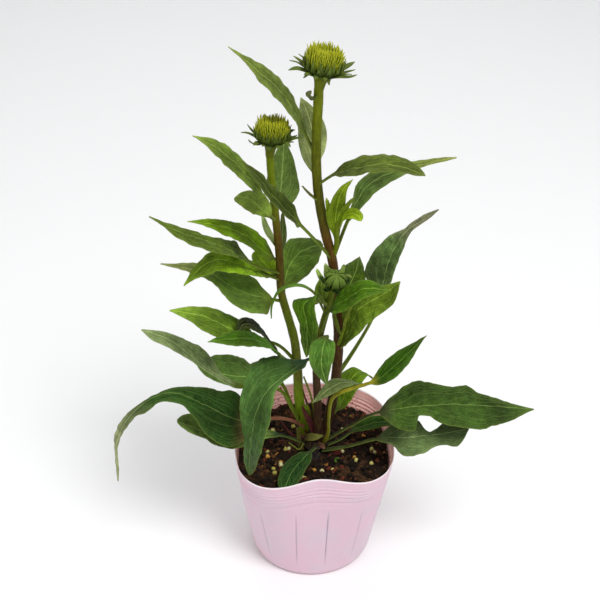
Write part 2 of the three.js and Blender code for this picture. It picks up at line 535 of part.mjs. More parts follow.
function leafBody(spec) {
  const leaf = { ...LEAF_DEFAULTS, ...spec };
  if (leaf.from) leaf.line = [onStem(leaf.on, leaf.from), ...leaf.line];
  const curve = curveOf(leaf.line);
  const length = curve.getLength();
  const start = leaf.petiole / length;
  leaf.sections = Math.max(4, Math.round((length - leaf.petiole) / STATION));
  const across = leaf.width < NARROW ? [-1, 0, 1] : [-1, -0.55, 0, 0.55, 1];
  const rings = sectionsOf(leaf, start).map((t) => {
    const b = (t - start) / (1 - start);
    const open = smooth(clamp01(b * OPENING));
    const { left, normal } = leafAxes(leaf, curve, t);
    const half = mix(PETIOLE.thickness, BLADE, open) / 2;
    const rib = RIB * (1 - 0.6 * clamp01(b)) * open;
    const at = (u, face) => {
      const w = halfWidth(leaf, b, Math.sign(u));
      const below = face < 0 && u === 0 ? rib : 0;
      const off = bladeLift(leaf, u, w, b, length * (t - start)) + face * half - below;
      return curve.getPointAt(t).addScaledVector(left, u * w).addScaledVector(normal, off);
    };
    return [...across.map((u) => at(u, 1)), ...across.map((u) => at(-u, -1))];
  });
  return solid(skin(rings));
}

// ---- Heads, bud and shoots ----------------------------------------------------------------

// A round body from [radius, height] pairs. flute draws every other side in.
function turned(profile, sides, flute = 0) {
  return solid(
    skin(
      profile.map(([r, z]) =>
        Array.from({ length: sides }, (_, j) => {
          const a = (TURN * j) / sides;
          const out = r * (1 - flute * (j % 2));
          return new THREE.Vector3(out * Math.cos(a), out * Math.sin(a), z);
        }),
      ),
    ),
  );
}

// A small pointed scale in the XZ plane: its line, its widest and its thickness.
function scale(line, width, thick, turn) {
  const curve = curveOf(line.map(([r, z]) => [r, 0, z]));
  const shares = [0, 0.4, 0.75, 1];
  const widths = [0.6, 1, 0.7, 0.18];
  const rings = shares.map((t, i) => {
    const tangent = curve.getTangentAt(t);
    const up = new THREE.Vector3(-tangent.z, 0, tangent.x).multiplyScalar(thick / 2);
    const side = new THREE.Vector3(0, (width / 2) * widths[i], 0);
    const centre = curve.getPointAt(t);
    return [
      centre.clone().add(side).add(up),
      centre.clone().sub(side).add(up),
      centre.clone().sub(side).sub(up),
      centre.clone().add(side).sub(up),
    ];
  });
  return solid(skin(rings)).rotate([0, 0, turn]);
}

// Where a head stands: the point at its foot, the way it leans, and its size against the tallest.
const HEADS = {
  tall: { foot: [0.9, 0, 332.5], lean: [0.16, 0], size: 1, bracts: 20, seed: 5 },
  short: { foot: [-26.8, 7, 290], lean: [0.11, 0], size: 0.93, bracts: 18, seed: 11 },
};
const BUD = { foot: [11.1, -11.1, 213.8], lean: [0.12, -0.4], size: 1 };

function seat(s, { foot, lean, size }) {
  const up = new THREE.Vector3(lean[0], lean[1], 1).normalize();
  const turn = new THREE.Quaternion().setFromUnitVectors(new THREE.Vector3(0, 0, 1), up);
  const m = new THREE.Matrix4().compose(vec(foot), turn, new THREE.Vector3(size, size, size));
  return s.transform(m.elements);
}

// The neck flares from the stem into a shallow cup, and the bracts spread from it in two rows.
const NECK = [[2.7, GAP], [3, 3], [4.2, 7], [6.2, 9.2], [8.8, 11], [9, 12]];
// The florets stand in rows round the cone and over its hollow top. Each row gives the cone's
// radius and height at the florets' feet, their length, and how far their points lean out.
const FLORETS = 18;
const FLORET_ROWS = [
  { radius: 8.4, z: 12.4, length: 0, lean: 0 },
  { radius: 9, z: 13.6, length: 5.4, lean: 1.7 },
  { radius: 9.3, z: 15.8, length: 5.8, lean: 1.5 },
  { radius: 9.1, z: 18, length: 5.8, lean: 1.3 },
  { radius: 8.2, z: 19.8, length: 5.2, lean: 0.9 },
  { radius: 6.6, z: 20.4, length: 4.2, lean: 0.4 },
  { radius: 4.8, z: 20, length: 3, lean: 0.2 },
  { radius: 2.6, z: 19.6, length: 0, lean: 0 },
];

function headBracts({ bracts, seed }) {
  const draw = random(seed);
  const scales = Array.from({ length: bracts }, (_, i) => {
    const turn = (360 * (i + 0.5 * draw())) / bracts;
    const droop = 3 * (draw() - 0.5);
    const inner = i % 2;
    const line = inner
      ? [[8, 10.6], [11.4, 12], [14, 14.4 + droop], [16.4, 15 + droop]]
      : [[5.2, 8.2], [9.5, 9], [14.5, 10.6 + droop], [18, 10.6 + 2 * droop]];
    return scale(line, 3.2, 0.8, turn);
  });
  return fuse([turned(NECK, 12), ...scales]);
}

// Every other point of a row is a floret's tip, and the rows are set half a floret round.
function headFlorets({ seed }) {
  const draw = random(seed + 1);
  const n = 2 * FLORETS;
  const isTip = (row, j) => FLORET_ROWS[row].length > 0 && (row + j) % 2 === 0;
  const rings = FLORET_ROWS.map(({ radius, z, length, lean }, row) =>
    Array.from({ length: n }, (_, j) => {
      const tip = isTip(row, j);
      const out = radius + (tip ? lean : 0);
      const turn = (TURN * (j + (tip ? 0.5 * (draw() - 0.5) : 0))) / n;
      const up = z + (tip ? length * (0.85 + 0.3 * draw()) : 0);
      return new THREE.Vector3(out * Math.cos(turn), out * Math.sin(turn), up);
    }),
  );
  return solid(skin(rings, isTip));
}

// The bud is a closed, fluted ball of scales with loose ones under it, and four young leaves.
const BUD_LEAVES = [
  { width: 6, petiole: 3, out: 90, roll: [0, 0],
    line: [[11, -11, 211], [8.8, -8.8, 217], [7, -8.2, 222], [5.5, -8, 227]] },
  { width: 3.2, petiole: 3, out: 90, roll: [0, 0],
    line: [[11, -11, 211], [5, -9, 215], [2.5, -8, 218.5], [0.5, -7.5, 223]] },
  { width: 3.5, petiole: 3, out: 90, roll: [0, 0],
    line: [[11, -11, 211], [14.5, -7.5, 218], [16.3, -6, 222.5], [17, -5.5, 225]] },
  { width: 3, petiole: 3, roll: [0, 0],
    line: [[11, -11, 211], [15.5, -13.5, 219], [18.5, -14.5, 223], [21.5, -15.5, 222]] },
];

function budBody() {
  const loose = Array.from({ length: 6 }, (_, i) =>
    scale([[1.8, 1.2], [4.8, 1.8], [7, 3.6], [7.6, 5.6]], 3, 0.8, 60 * (i + 0.3)),
  );
  const profile = [[1.6, GAP], [2.6, 1.6], [5, 3.6], [5.6, 6], [4.8, 8.6], [2.6, 10], [1.2, 9.4]];
  const ball = seat(fuse([turned(profile, 12, 0.07), ...loose]), BUD);
  return fuse([ball, ...BUD_LEAVES.map(leafBody)]).subtract(stemBody("middle", GAP));
}

// Two short side shoots grow from the tall stem: a line for the shoot, and its leaves.
const SHOOTS = {
  upper: {
    line: [[10.5, 0, 226], [12, -1, 234], [12.5, -2, 244], [13, -2, 252]],
    radii: [1.2, 1.5, 1.9],
    leaves: [
      { width: 10, petiole: 3, out: 90, roll: [0, 0],
        line: [[12, -1.5, 240], [11.3, -3, 254], [12.5, -5, 266], [15.5, -7, 276], [20.5, -8, 282]] },
      { width: 5, petiole: 3, out: 90, roll: [0, 0],
        line: [[12, -1.5, 240], [9.8, -2, 249], [7.5, -3, 260], [5.8, -3, 268]] },
      { width: 4.5, petiole: 2, out: 90, roll: [0, 0],
        line: [[13, -2, 248], [15, -4, 258], [18, -6, 265], [21.4, -7, 270]] },
      { width: 7, petiole: 5, belly: 0.55, taper: 1.1, roll: [-40, -40],
        line: [[13, -2, 247], [16, -6, 256.5], [20, -9, 261], [24, -12, 261], [26, -13.5, 258.5]] },
    ],
  },
  lower: {
    line: [[14, 1, 160], [16, -4, 170], [18, -6, 180]],
    radii: [1.2, 1],
    leaves: [
      { width: 4, petiole: 3, roll: [0, 0],
        line: [[17, -5, 176], [20, -9, 192], [24, -11, 206], [26, -12, 210]] },
      { line: [[16, -5, 174], [12, -8, 186], [11, -9, 196]], width: 5, petiole: 3, roll: [0, 0] },
    ],
  },
};

function shootBody({ line, radii, leaves }) {
  return fuse([stalk(line, radii, 4, 6), ...leaves.map(leafBody)]);
}

// ---- Put together -------------------------------------------------------------------------

const pot = makePot();
const crown = crownBody(0);
const bodies = {
  crown: crownBody(GAP),
  tall: stemBody("tall", GAP),
  short: stemBody("short", GAP),
  middle: stemBody("middle", GAP),
};
place("pot", pot, LOOK.pot);
place("soil", mainBody(makeSoil().subtract(crownBody(GAP))), LOOK.soil);
place("crown", crown, LOOK.crown);
for (const name of Object.keys(STEMS))
  place(`stem_${name}`, mainBody(stemBody(name).subtract(bodies.crown)), STEMS[name].look);
for (const leaf of LEAVES)
  place(leaf.name, mainBody(leafBody(leaf).subtract(bodies[leaf.on])), LOOK.leaf);
for (const [name, head] of Object.entries(HEADS)) {
  place(`head_${name}_bracts`, seat(headBracts(head), head), LOOK.bract);
  place(`head_${name}_florets`, seat(headFlorets(head), head), LOOK.florets);
}
place("bud", mainBody(budBody()), LOOK.youngLeaf);
for (const shoot of Object.keys(SHOOTS))
  place(`shoot_${shoot}`, mainBody(shootBody(SHOOTS[shoot]).subtract(bodies.tall)), LOOK.youngLeaf);

export default part;
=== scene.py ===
# A young purple coneflower in a soft nursery pot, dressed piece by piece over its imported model.
# Sizes are millimetres until a piece is made, and the frame is the model's own: +Z up, -Y in front.
import math
import random

import bpy
import numpy as np
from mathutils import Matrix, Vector, noise


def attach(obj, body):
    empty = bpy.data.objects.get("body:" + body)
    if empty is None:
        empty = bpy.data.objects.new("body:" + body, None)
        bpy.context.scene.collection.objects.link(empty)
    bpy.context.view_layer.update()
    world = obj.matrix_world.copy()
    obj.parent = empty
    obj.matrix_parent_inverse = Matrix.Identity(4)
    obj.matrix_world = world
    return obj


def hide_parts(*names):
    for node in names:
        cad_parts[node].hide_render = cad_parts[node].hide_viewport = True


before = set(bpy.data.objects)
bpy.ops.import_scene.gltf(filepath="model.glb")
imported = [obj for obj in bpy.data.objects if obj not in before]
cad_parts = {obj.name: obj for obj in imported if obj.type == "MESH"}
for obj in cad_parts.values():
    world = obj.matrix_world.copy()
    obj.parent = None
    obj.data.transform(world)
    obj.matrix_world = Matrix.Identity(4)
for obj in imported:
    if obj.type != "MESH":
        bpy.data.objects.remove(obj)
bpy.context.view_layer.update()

# ---- Pot --------------------------------------------------------------------------------------
# A nursery pot blown from thin pink polyethylene. Rings under the rim stiffen it, and upright
# creases are left where it was packed flat. Its soft rim is pushed in at the front, sags beside
# that, and rides up at the back. It stands loose and holds the soil.

MM = 0.001
TURN = 2 * math.pi
POT = dict(height=90, base=40.6, rim=52.5, film=0.55, floor=1.2, foot=3.5, around=336)
RIM = dict(squareness=5.2, back_lift=3.5)
PUSH = dict(angle=math.radians(-84), inward=6.5, up=2.5)
SAGS = [dict(angle=math.radians(-128), outward=2, down=4.5),
        dict(angle=math.radians(-44), outward=1.5, down=3)]
BULGE = dict(out=1.4, left=0.3, fullness=0.7)
SLUMP = dict(x=-1.5, y=-1)  # the floor sits that far askew under the rim
# low and high are where the creases end, and fades are the lengths that they fade out over.
CREASES = dict(count=14, first=math.radians(-78.2), low=9, high=64, fades=(14, 10), depth=0.8,
               half_width=0.9)
RIDGES = dict(low=73.5, high=84.5, spacing=2.9, height=0.2, fade=1.5)
BANDS = [(70.6, 0.5), (67.4, 0.25)]  # the height and depth of the grooves under the ridges
BAND_WIDTH = 0.9
DENTS = dict(broad=0.55, fine=0.12)  # how deep the film's soft dents are
DRAINS = dict(count=6, radius=3.2, circle=24)


def paint(red, green, blue):
    """A colour for a shader from its 0 to 255 screen values."""
    def linear(c):
        c /= 255
        return c / 12.92 if c <= 0.04045 else ((c + 0.055) / 1.055) ** 2.4
    return (linear(red), linear(green), linear(blue), 1.0)


def new_look(name, **sockets):
    """A material and its shader, with the shader's sockets set."""
    look = bpy.data.materials.new(name)
    look.use_nodes = True
    shader = look.node_tree.nodes["Principled BSDF"]
    for socket, value in sockets.items():
        shader.inputs[socket.replace("_", " ")].default_value = value
    return look, shader


def node(look, kind, feeds=None, **settings):
    """A node of a look. feeds gives its sockets their values or the outputs that feed them."""
    made = look.node_tree.nodes.new("ShaderNode" + kind)
    for key, value in settings.items():
        setattr(made, key, value)
    for key, value in (feeds or {}).items():
        if isinstance(value, bpy.types.NodeSocket):
            look.node_tree.links.new(value, made.inputs[key])
        else:
            made.inputs[key].default_value = value
    return made


def join(look, output, socket):
    """Feeds a socket from an output."""
    look.node_tree.links.new(output, socket)


def mixed(look, share, first, second, blend="MIX"):
    """The output of two colours mixed by a share."""
    feeds = {0: share, 6: first, 7: second}
    return node(look, "Mix", feeds, data_type="RGBA", blend_type=blend).outputs[2]


def ramp(look, feed, low, high, start=0.0, end=1.0):
    """The feed mapped smoothly from low..high to start..end."""
    feeds = {0: feed, 1: low, 2: high, 3: start, 4: end}
    return node(look, "MapRange", feeds, interpolation_type="SMOOTHSTEP").outputs[0]


def maths(look, operation, *feeds):
    """The output of a sum on one or two numbers."""
    return node(look, "Math", dict(enumerate(feeds)), operation=operation).outputs[0]


def grain(look, size, detail=3.0, rough=0.55, stretch=(1, 1, 1)):
    """Soft noise with lumps of about that many millimetres, stretched along the axes."""
    place = node(look, "TexCoord").outputs["Object"]
    spread = node(look, "Mapping", {"Vector": place, "Scale": stretch})
    feeds = {"Vector": spread.outputs[0], "Scale": 1 / (size * MM), "Detail": detail, "Roughness": rough}
    return node(look, "TexNoise", feeds).outputs["Fac"]


def bumped(look, shader, height, depth, strength):
    """Gives the shader a bump of that depth in millimetres."""
    feeds = {"Height": height, "Distance": depth * MM, "Strength": strength}
    join(look, node(look, "Bump", feeds).outputs[0], shader.inputs["Normal"])


def turns(count):
    """Evenly spaced angles once round."""
    return [TURN * j / count for j in range(count)]


def closed_skin(rings):
    """Points and faces of a closed skin through rings of points, with a fan over each end."""
    rings = np.asarray(rings, float)
    count, around = rings.shape[:2]
    points = np.vstack([rings.reshape(-1, 3), rings[0].mean(0), rings[-1].mean(0)])
    grid = np.arange(count * around).reshape(count, around)
    after = np.roll(grid, -1, axis=1)
    quads = np.stack([grid[:-1], after[:-1], after[1:], grid[1:]], -1).reshape(-1, 4)
    first, last = count * around, count * around + 1
    fans = [(first, b, a) for a, b in zip(grid[0].tolist(), after[0].tolist())]
    fans += [(last, a, b) for a, b in zip(grid[-1].tolist(), after[-1].tolist())]
    middle = points.mean(0)
    a, b, c, d = (points[quads[:, i]] - middle for i in range(4))
    volume = (np.cross(a, b) * c).sum() + (np.cross(a, c) * d).sum()
    faces = quads.tolist() + fans
    return points, faces if volume > 0 else [face[::-1] for face in faces]


def joined(bodies):
    """Several (points, faces) bodies as one."""
    points, faces = [], []
    for body_points, body_faces in bodies:
        base = sum(len(p) for p in points)
        points.append(np.asarray(body_points, float))
        faces += [[base + i for i in face] for face in body_faces]
    return np.vstack(points), faces


def new_piece(name, points, faces, look, **attributes):
    """A smooth mesh object in metres, with its per-point attributes."""
    mesh = bpy.data.meshes.new(name)
    mesh.from_pydata((np.asarray(points) * MM).tolist(), [], faces)
    for key, values in attributes.items():
        values = np.asarray(values, np.float32)
        kind, field = {3: ("FLOAT_VECTOR", "vector"), 4: ("FLOAT_COLOR", "color")}[values.shape[1]]
        mesh.attributes.new(key, kind, "POINT").data.foreach_set(field, values.ravel())
    mesh.shade_smooth()
    mesh.materials.append(look)
    piece = bpy.data.objects.new(name, mesh)
    bpy.context.scene.collection.objects.link(piece)
    return piece


def rim_at(angle):
    """The rim's radius and height at an angle, where -90 degrees is the front."""
    def near(place, sharpness):
        return max(0, math.cos(angle - place)) ** sharpness
    push = near(PUSH["angle"], 7)
    outward = sum(sag["outward"] * near(sag["angle"], 6) for sag in SAGS)
    down = sum(sag["down"] * near(sag["angle"], 6) for sag in SAGS)
    back = max(0, math.sin(angle)) ** 2
    corner = (1 - math.cos(4 * angle)) / 2
    radius = POT["rim"] + RIM["squareness"] * corner - PUSH["inward"] * push + outward
    return radius, POT["height"] + RIM["back_lift"] * back - down + PUSH["up"] * push


def on_wall(angle, share, inset=0):
    """A point of the plain tapered wall at a share of the way up."""
    radius, height = rim_at(angle)
    z = share * height
    foot = POT["foot"]
    rounding = foot - math.sqrt(foot ** 2 - (foot - z) ** 2) if z < foot else 0
    side = 1 - BULGE["left"] * math.cos(angle)
    swell = math.sin(math.pi * min(1, max(0, share))) ** BULGE["fullness"]
    r = POT["base"] + (radius - POT["base"]) * share ** 1.05 + BULGE["out"] * side * swell
    r -= rounding + inset
    x = SLUMP["x"] * (1 - share) + r * math.cos(angle)
    return x, SLUMP["y"] * (1 - share) + r * math.sin(angle), z


def near_crease(angle, z):
    """How far round the nearest crease is, on alternate sides of it in turn, and how strong it is."""
    turn = (angle - CREASES["first"]) / TURN * CREASES["count"]
    number = round(turn)
    off = (turn - number) * TURN / CREASES["count"] * POT["base"] * (-1) ** number
    pick = 0.35 + 0.65 * abs(math.sin(2.3 * (number % CREASES["count"]) + 1))
    fade_in, fade_out = CREASES["fades"]
    low_end = min(1, max(0, (z - CREASES["low"]) / fade_in))
    ends = low_end * min(1, max(0, (CREASES["high"] - z) / fade_out))
    return off, pick * ends


def film_relief(angle, share):
    """How far the film stands out from the plain wall: ridges, bands, creases and soft dents."""
    z = share * POT["height"]
    low_end = min(1, max(0, (z - RIDGES["low"]) / RIDGES["fade"]))
    fade = low_end * min(1, max(0, (RIDGES["high"] - z) / RIDGES["fade"]))
    out = fade * RIDGES["height"] * math.cos(TURN * (z - RIDGES["low"]) / RIDGES["spacing"])
    for height, depth in BANDS:
        out -= depth * math.exp(-(((z - height) / BAND_WIDTH) ** 2))
    off, strength = near_crease(angle, z)
    off = abs(off) / CREASES["half_width"]
    out -= CREASES["depth"] * strength * (math.exp(-off) - 0.18 * math.exp(-((off / 3.5) ** 2)))
    place = Vector((math.cos(angle) * 2.1, math.sin(angle) * 2.1, z * 0.035))
    dents = DENTS["broad"] * noise.noise(place) * (0.4 + share)
    return out + dents + DENTS["fine"] * noise.noise(place * 4.3)


def pot_rings(shares, around, inset):
    """Rings of points on the film, or that far inside it, at shares of the way up."""
    rings = []
    for share in shares:
        ring = []
        for angle in turns(around):
            out = min(1, share / 0.06) * film_relief(angle, share)
            ring.append(on_wall(angle, share, inset - out))
        rings.append(ring)
    return rings


def make_pot():
    """The film's outside from the floor to the rim, then its inside back down to the floor."""
    around = POT["around"]
    foot = [0, 0.004, 0.01, 0.018, 0.028, 0.04, 0.055]
    wall = list(np.linspace(0.07, 0.78, 46))
    band = list(np.linspace(0.785, 0.992, 54))
    outside = pot_rings(foot + wall + band, around, 0)
    lip = np.array(pot_rings([1], around, POT["film"] / 2)[0])
    lip[:, 2] += 0.15
    inner_shares = [0.992] + band[-2::-1] + wall[::-4] + [0.055, 0.035]
    inside = pot_rings(inner_shares, around, POT["film"])
    floor = np.array(inside[-1]) * (0.97, 0.97, 0)
    floor[:, 2] = POT["floor"]
    points, faces = closed_skin([*outside, lip, *inside, floor])
    shares = foot + wall + band + [1] + inner_shares + [0]
    marks = []
    for row, share in enumerate(shares):
        for angle in turns(around):
            off, strength = near_crease(angle, share * POT["height"])
            marks.append((row > len(outside), 100 * share, off, strength))
    return points, faces, np.array([*marks, (0, 0, 9, 0), (1, 0, 9, 0)], float)


def thin_line(look, distance, low, high, strength):
    """A mask of that strength where a distance in millimetres is small."""
    return ramp(look, maths(look, "ABSOLUTE", distance), low, high, strength, 0)


# Pale pink film with a soft sheen. Light soaks into it, and its inside is painted a brighter salmon than
# its outside, painted light for the light that comes through the film; wet soil has left brown specks there.
film, film_shader = new_look("pink_film", Roughness=0.42, Subsurface_Weight=0.35, IOR=1.5)
film_shader.inputs["Subsurface Radius"].default_value = (0.003, 0.002, 0.002)
film_shader.inputs["Subsurface Scale"].default_value = 1.0
film_marks = node(film, "Attribute", attribute_name="marks").outputs
film_split = node(film, "SeparateColor", {"Color": film_marks["Color"]})
level = film_split.outputs["Green"]
clouds = grain(film, 26, 3)
streaks = grain(film, 3.2, 4, stretch=(1, 1, 0.08))
outer = mixed(film, ramp(film, clouds, 0.35, 0.7), paint(226, 186, 201), paint(219, 190, 204))
outer = mixed(film, ramp(film, streaks, 0.55, 0.8, 0, 0.25), outer, paint(232, 208, 218))
# Painted shade: a thin dark grey line is painted down each crease, for the shade in the fold.
crease_shade = thin_line(film, film_split.outputs["Blue"], 0.1, 0.6, 0.75)
crease_shade = maths(film, "MULTIPLY", crease_shade, film_marks["Alpha"])
outer = mixed(film, crease_shade, outer, paint(140, 122, 146))
# Painted highlight: the top of the lip is painted near white, outside and inside, for the light along the
# rim.
lip = ramp(film, level, 98.4, 99.6, 0, 0.8)
outer = mixed(film, lip, outer, paint(252, 238, 242))
specks = grain(film, 1.7, 2, 0.6)
high = ramp(film, level, 84, 100, 0.0, 0.12)
lifted = maths(film, "SUBTRACT", specks, high)
# The inside's pink, painted brighter and more salmon as painted light for the light through the film.
lit_inner_pink = mixed(film, ramp(film, clouds, 0.3, 0.7), paint(255, 188, 180), paint(255, 204, 196))
wavy = maths(film, "ADD", maths(film, "MULTIPLY", level, 2.2), grain(film, 14, 2))
ribs = maths(film, "SINE", wavy)
lit_inner_pink = mixed(film, ramp(film, ribs, 0.2, 1, 0, 0.35), lit_inner_pink, paint(226, 140, 140))
# The painted highlight along the lip, on the inside.
lit_inner_pink = mixed(film, lip, lit_inner_pink, paint(255, 240, 242))
dirty = mixed(film, ramp(film, lifted, 0.6, 0.63), lit_inner_pink, paint(58, 32, 22))
join(film, mixed(film, film_split.outputs["Red"], outer, dirty), film_shader.inputs["Base Color"])
join(film, ramp(film, streaks, 0.3, 0.8, 0.36, 0.5), film_shader.inputs["Roughness"])
wrinkle = maths(film, "ADD", grain(film, 7, 3), grain(film, 1.1, 2))
bumped(film, film_shader, wrinkle, 0.25, 0.5)

pot_points, pot_faces, pot_marks = make_pot()
pot = new_piece("pot_film", pot_points, pot_faces, film, marks=pot_marks)
holes = []
for angle in turns(DRAINS["count"]):
    x, y = DRAINS["circle"] * math.cos(angle), DRAINS["circle"] * math.sin(angle)
    r = DRAINS["radius"]
    circle = [(x + r * math.cos(a), y + r * math.sin(a)) for a in turns(32)]
    holes.append(closed_skin([[(*spot, z) for spot in circle] for z in (-3, 4)]))
punch = new_piece("punch", *joined(holes), film)
cut = pot.modifiers.new("drain", "BOOLEAN")
cut.object = punch
cut.solver = "EXACT"
shape = bpy.data.meshes.new_from_object(pot.evaluated_get(bpy.context.evaluated_depsgraph_get()))
pot.modifiers.clear()
pot.data = shape
bpy.data.objects.remove(punch)
pot.data.shade_smooth()
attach(pot, "root")
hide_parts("pot")

# ---- Soil -------------------------------------------------------------------------------------
# Dark peat and bark potting mix. It was pressed into the pot by hand and stands a little higher
# round the crown. Crumbs, bark chips and cream slow-release beads lie loose on it.

# level is the soil's height, mound its rise at the crown, relief its lumps, clear its gap to the
# pot's wall, and low its underside.
SOIL = dict(level=77, mound=3, relief=0.9, clear=1.7, low=1.6, around=220, rings=64)
CROWN = dict(x=1, y=3, radius=10, clear=1.5)
CRUMBS, CHIPS = 900, 70
# Where the beads lie, as x and y.
BEADS = [(27, -10), (28, -13), (-27, -20), (-26, -25), (-22, -14), (-22, -18), (-17, -2), (-19, -3),
         (0, -24), (5, -23), (12, -21), (27, 34), (41, -4), (39, -1), (38, -15), (-31, -10), (19, -4),
         (-31, -3), (-7, -30), (20, 20), (-14, 22), (34, 12), (5, 30), (-28, 16)]


def soil_height(x, y):
    """The soil's height without its crumbs, highest round the crown."""
    out = math.hypot(x - CROWN["x"], y - CROWN["y"])
    lumps = math.sin(0.31 * x + 1.3) * math.cos(0.27 * y - 0.4)
    lumps += 0.6 * math.sin(0.73 * x - 0.58 * y) + 0.4 * math.cos(1.1 * y + 0.9 * x + 2)
    return SOIL["level"] + SOIL["mound"] * math.exp(-((out / 18) ** 2)) + SOIL["relief"] * lumps


def crumbly(x, y):
    """The soil's height with its crumbs."""
    place = Vector((x, y, 0))
    big = noise.fractal(place * 0.32, 0.8, 2.1, 3)
    small = abs(noise.noise(place * 1.1 + Vector((7, 3, 1))))
    return soil_height(x, y) + 0.9 * big + 1.1 * small - 0.3


def soil_edge(angle, z):
    """A point just inside the pot's wall at a height."""
    x, y, _ = on_wall(angle, z / rim_at(angle)[1], SOIL["clear"])
    return x, y


def make_soil():
    """A plug down the inside of the pot, closed over with a fine crumbly top."""
    rings = []
    for z, share in ((SOIL["low"], 0.9), (5, 0.99), (40, 1), (70, 1)):
        edge = [soil_edge(a, max(z, 8)) for a in turns(SOIL["around"])]
        rings.append([(share * x, share * y, z) for x, y in edge])
    for i in range(SOIL["rings"], 0, -1):
        ring = []
        for a in turns(SOIL["around"]):
            x, y = (c * i / SOIL["rings"] for c in soil_edge(a, SOIL["level"]))
            ring.append((x, y, crumbly(x, y)))
        rings.append(ring)
    return closed_skin(rings)


def lump(centre, size, squash, seed, rows, around):
    """A rough rounded lump: squash gives its three shares, and the seed its own shape."""
    draw = random.Random(seed)
    turn = draw.uniform(0, TURN)
    tip = draw.uniform(-0.5, 0.5)
    rings = []
    for i in range(rows):
        polar = math.pi * (i + 0.5) / rows
        ring = []
        for a in turns(around):
            p = Vector((math.sin(polar) * math.cos(a), math.sin(polar) * math.sin(a), math.cos(polar)))
            p *= 1 + 0.45 * noise.noise(p * 1.3 + Vector((seed * 0.37, 0, 0)))
            x, y, z = p.x * squash[0], p.y * squash[1], p.z * squash[2]
            z += tip * x * 0.6
            c, s = math.cos(turn), math.sin(turn)
            ring.append((centre[0] + size * (x * c - y * s), centre[1] + size * (x * s + y * c),
                         centre[2] + size * z))
        rings.append(ring)
    return closed_skin(rings)


def on_soil(draw):
    """A point on the soil, clear of the pot and of the crown."""
    while True:
        a, share = draw.uniform(0, TURN), 0.97 * math.sqrt(draw.random())
        x, y = (c * share for c in soil_edge(a, SOIL["level"]))
        if math.hypot(x - CROWN["x"], y - CROWN["y"]) > CROWN["radius"] + CROWN["clear"]:
            return x, y, crumbly(x, y)


def painted(bodies, colours):
    """Bodies joined, with a colour for all the points of each."""
    tint = [np.tile(colour, (len(body[0]), 1)) for body, colour in zip(bodies, colours)]
    return *joined(bodies), np.vstack(tint)


def drawn(look, name, kind="Color"):
    """What the points carry under that name."""
    return node(look, "Attribute", attribute_name=name).outputs[kind]


def shaded_by(look, colour, shade):
    """A colour made lighter or darker by a shade."""
    grey = node(look, "CombineColor", {"Red": shade, "Green": shade, "Blue": shade}).outputs[0]
    return mixed(look, 1.0, colour, grey, "MULTIPLY")


def tint_look(name, rough, grains, depth, contrast):
    """A look that takes its colour from the points' tint, mottled and bumped by a fine grain."""
    look, shader = new_look(name, Roughness=rough, Specular_IOR_Level=0.2)
    fine = grain(look, grains, 4, 0.65)
    shade = ramp(look, fine, 0.3, 0.72, 1 - contrast, 1 + 0.4 * contrast)
    join(look, shaded_by(look, drawn(look, "tint"), shade), shader.inputs["Base Color"])
    bumped(look, shader, fine, depth, 0.8)
    return look


peat = tint_look("peat", 0.95, 1.3, 0.6, 0.7)
soil_points, soil_faces = make_soil()
soil_tint = np.zeros((len(soil_points), 4)) + paint(38, 24, 13)
pale = np.array([noise.noise(Vector(p) * 0.16) for p in soil_points]) > 0.12
soil_tint[pale] = paint(72, 48, 27)
soil = new_piece("soil_plug", soil_points, soil_faces, peat, tint=soil_tint)

CRUMB_COLOURS = [(24, 15, 9), (40, 26, 15), (88, 56, 32), (14, 9, 6), (98, 48, 30), (70, 50, 32),
                 (30, 19, 11)]
draw = random.Random(21)
crumbs, crumb_tints = [], []
for i in range(CRUMBS):
    x, y, z = on_soil(draw)
    size = draw.choice((0.5, 0.7, 0.7, 1.0, 1.4, 1.9))
    crumbs.append(lump((x, y, z + 0.2 * size), size, (1.2, 0.9, 0.7), i, 4, 7))
    crumb_tints.append(paint(*draw.choice(CRUMB_COLOURS)))
points, faces, tint = painted(crumbs, crumb_tints)
crumb = new_piece("soil_crumbs", points, faces, peat, tint=tint)

CHIP_COLOURS = [(104, 52, 30), (92, 58, 28), (58, 32, 20), (132, 98, 56), (46, 34, 26), (150, 100, 44)]
bark = tint_look("bark_chips", 0.85, 0.9, 0.3, 0.5)
chips, chip_tints = [], []
for i in range(CHIPS):
    x, y, z = on_soil(draw)
    size = draw.uniform(0.8, 1.9)
    chips.append(lump((x, y, z + 0.25), size, (1.25, 0.75, 0.3), 400 + i, 4, 8))
    chip_tints.append(paint(*draw.choice(CHIP_COLOURS)))
# A flake of red bark and a torn bit of green leaf lie on top.
for x, y, size, colour in ((15, -7, 2.6, (100, 38, 28)), (15, -13, 2.3, (72, 108, 28))):
    chips.append(lump((x, y, crumbly(x, y) + 0.8), size, (1.2, 0.8, 0.45), 40 + y, 6, 12))
    chip_tints.append(paint(*colour))
points, faces, tint = painted(chips, chip_tints)
chip = new_piece("soil_chips", points, faces, bark, tint=tint)

coating = tint_look("bead_coating", 0.45, 1.6, 0.05, 0.16)
BEAD_COLOURS = [(196, 190, 112), (206, 202, 146), (176, 168, 84), (186, 138, 60)]
beads, bead_tints = [], []
for i, (x, y) in enumerate(BEADS):
    size = draw.uniform(1.3, 1.7)
    beads.append(lump((x, y, crumbly(x, y) + 0.6), size, (1, 0.97, 0.92), 900 + i, 10, 16))
    bead_tints.append(paint(*draw.choice(BEAD_COLOURS)))
points, faces, tint = painted(beads, bead_tints)
bead = new_piece("soil_beads", points, faces, coating, tint=tint)
for piece in (soil, crumb, chip, bead):
    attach(piece, "root")
    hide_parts("soil")

# ---- Crown ------------------------------------------------------------------------------------
# The short woody base that the stems and the lower leaves grow from. It is brown and knobbly, and
# scaly with the torn feet of old leaves.

# Its heights, and the share of its radius at each.
CROWN_ROWS = [(54, 0.35), (60, 0.8), (68, 0.92), (78, 1.0), (82, 1.02), (86, 0.82), (88.2, 0.5)]


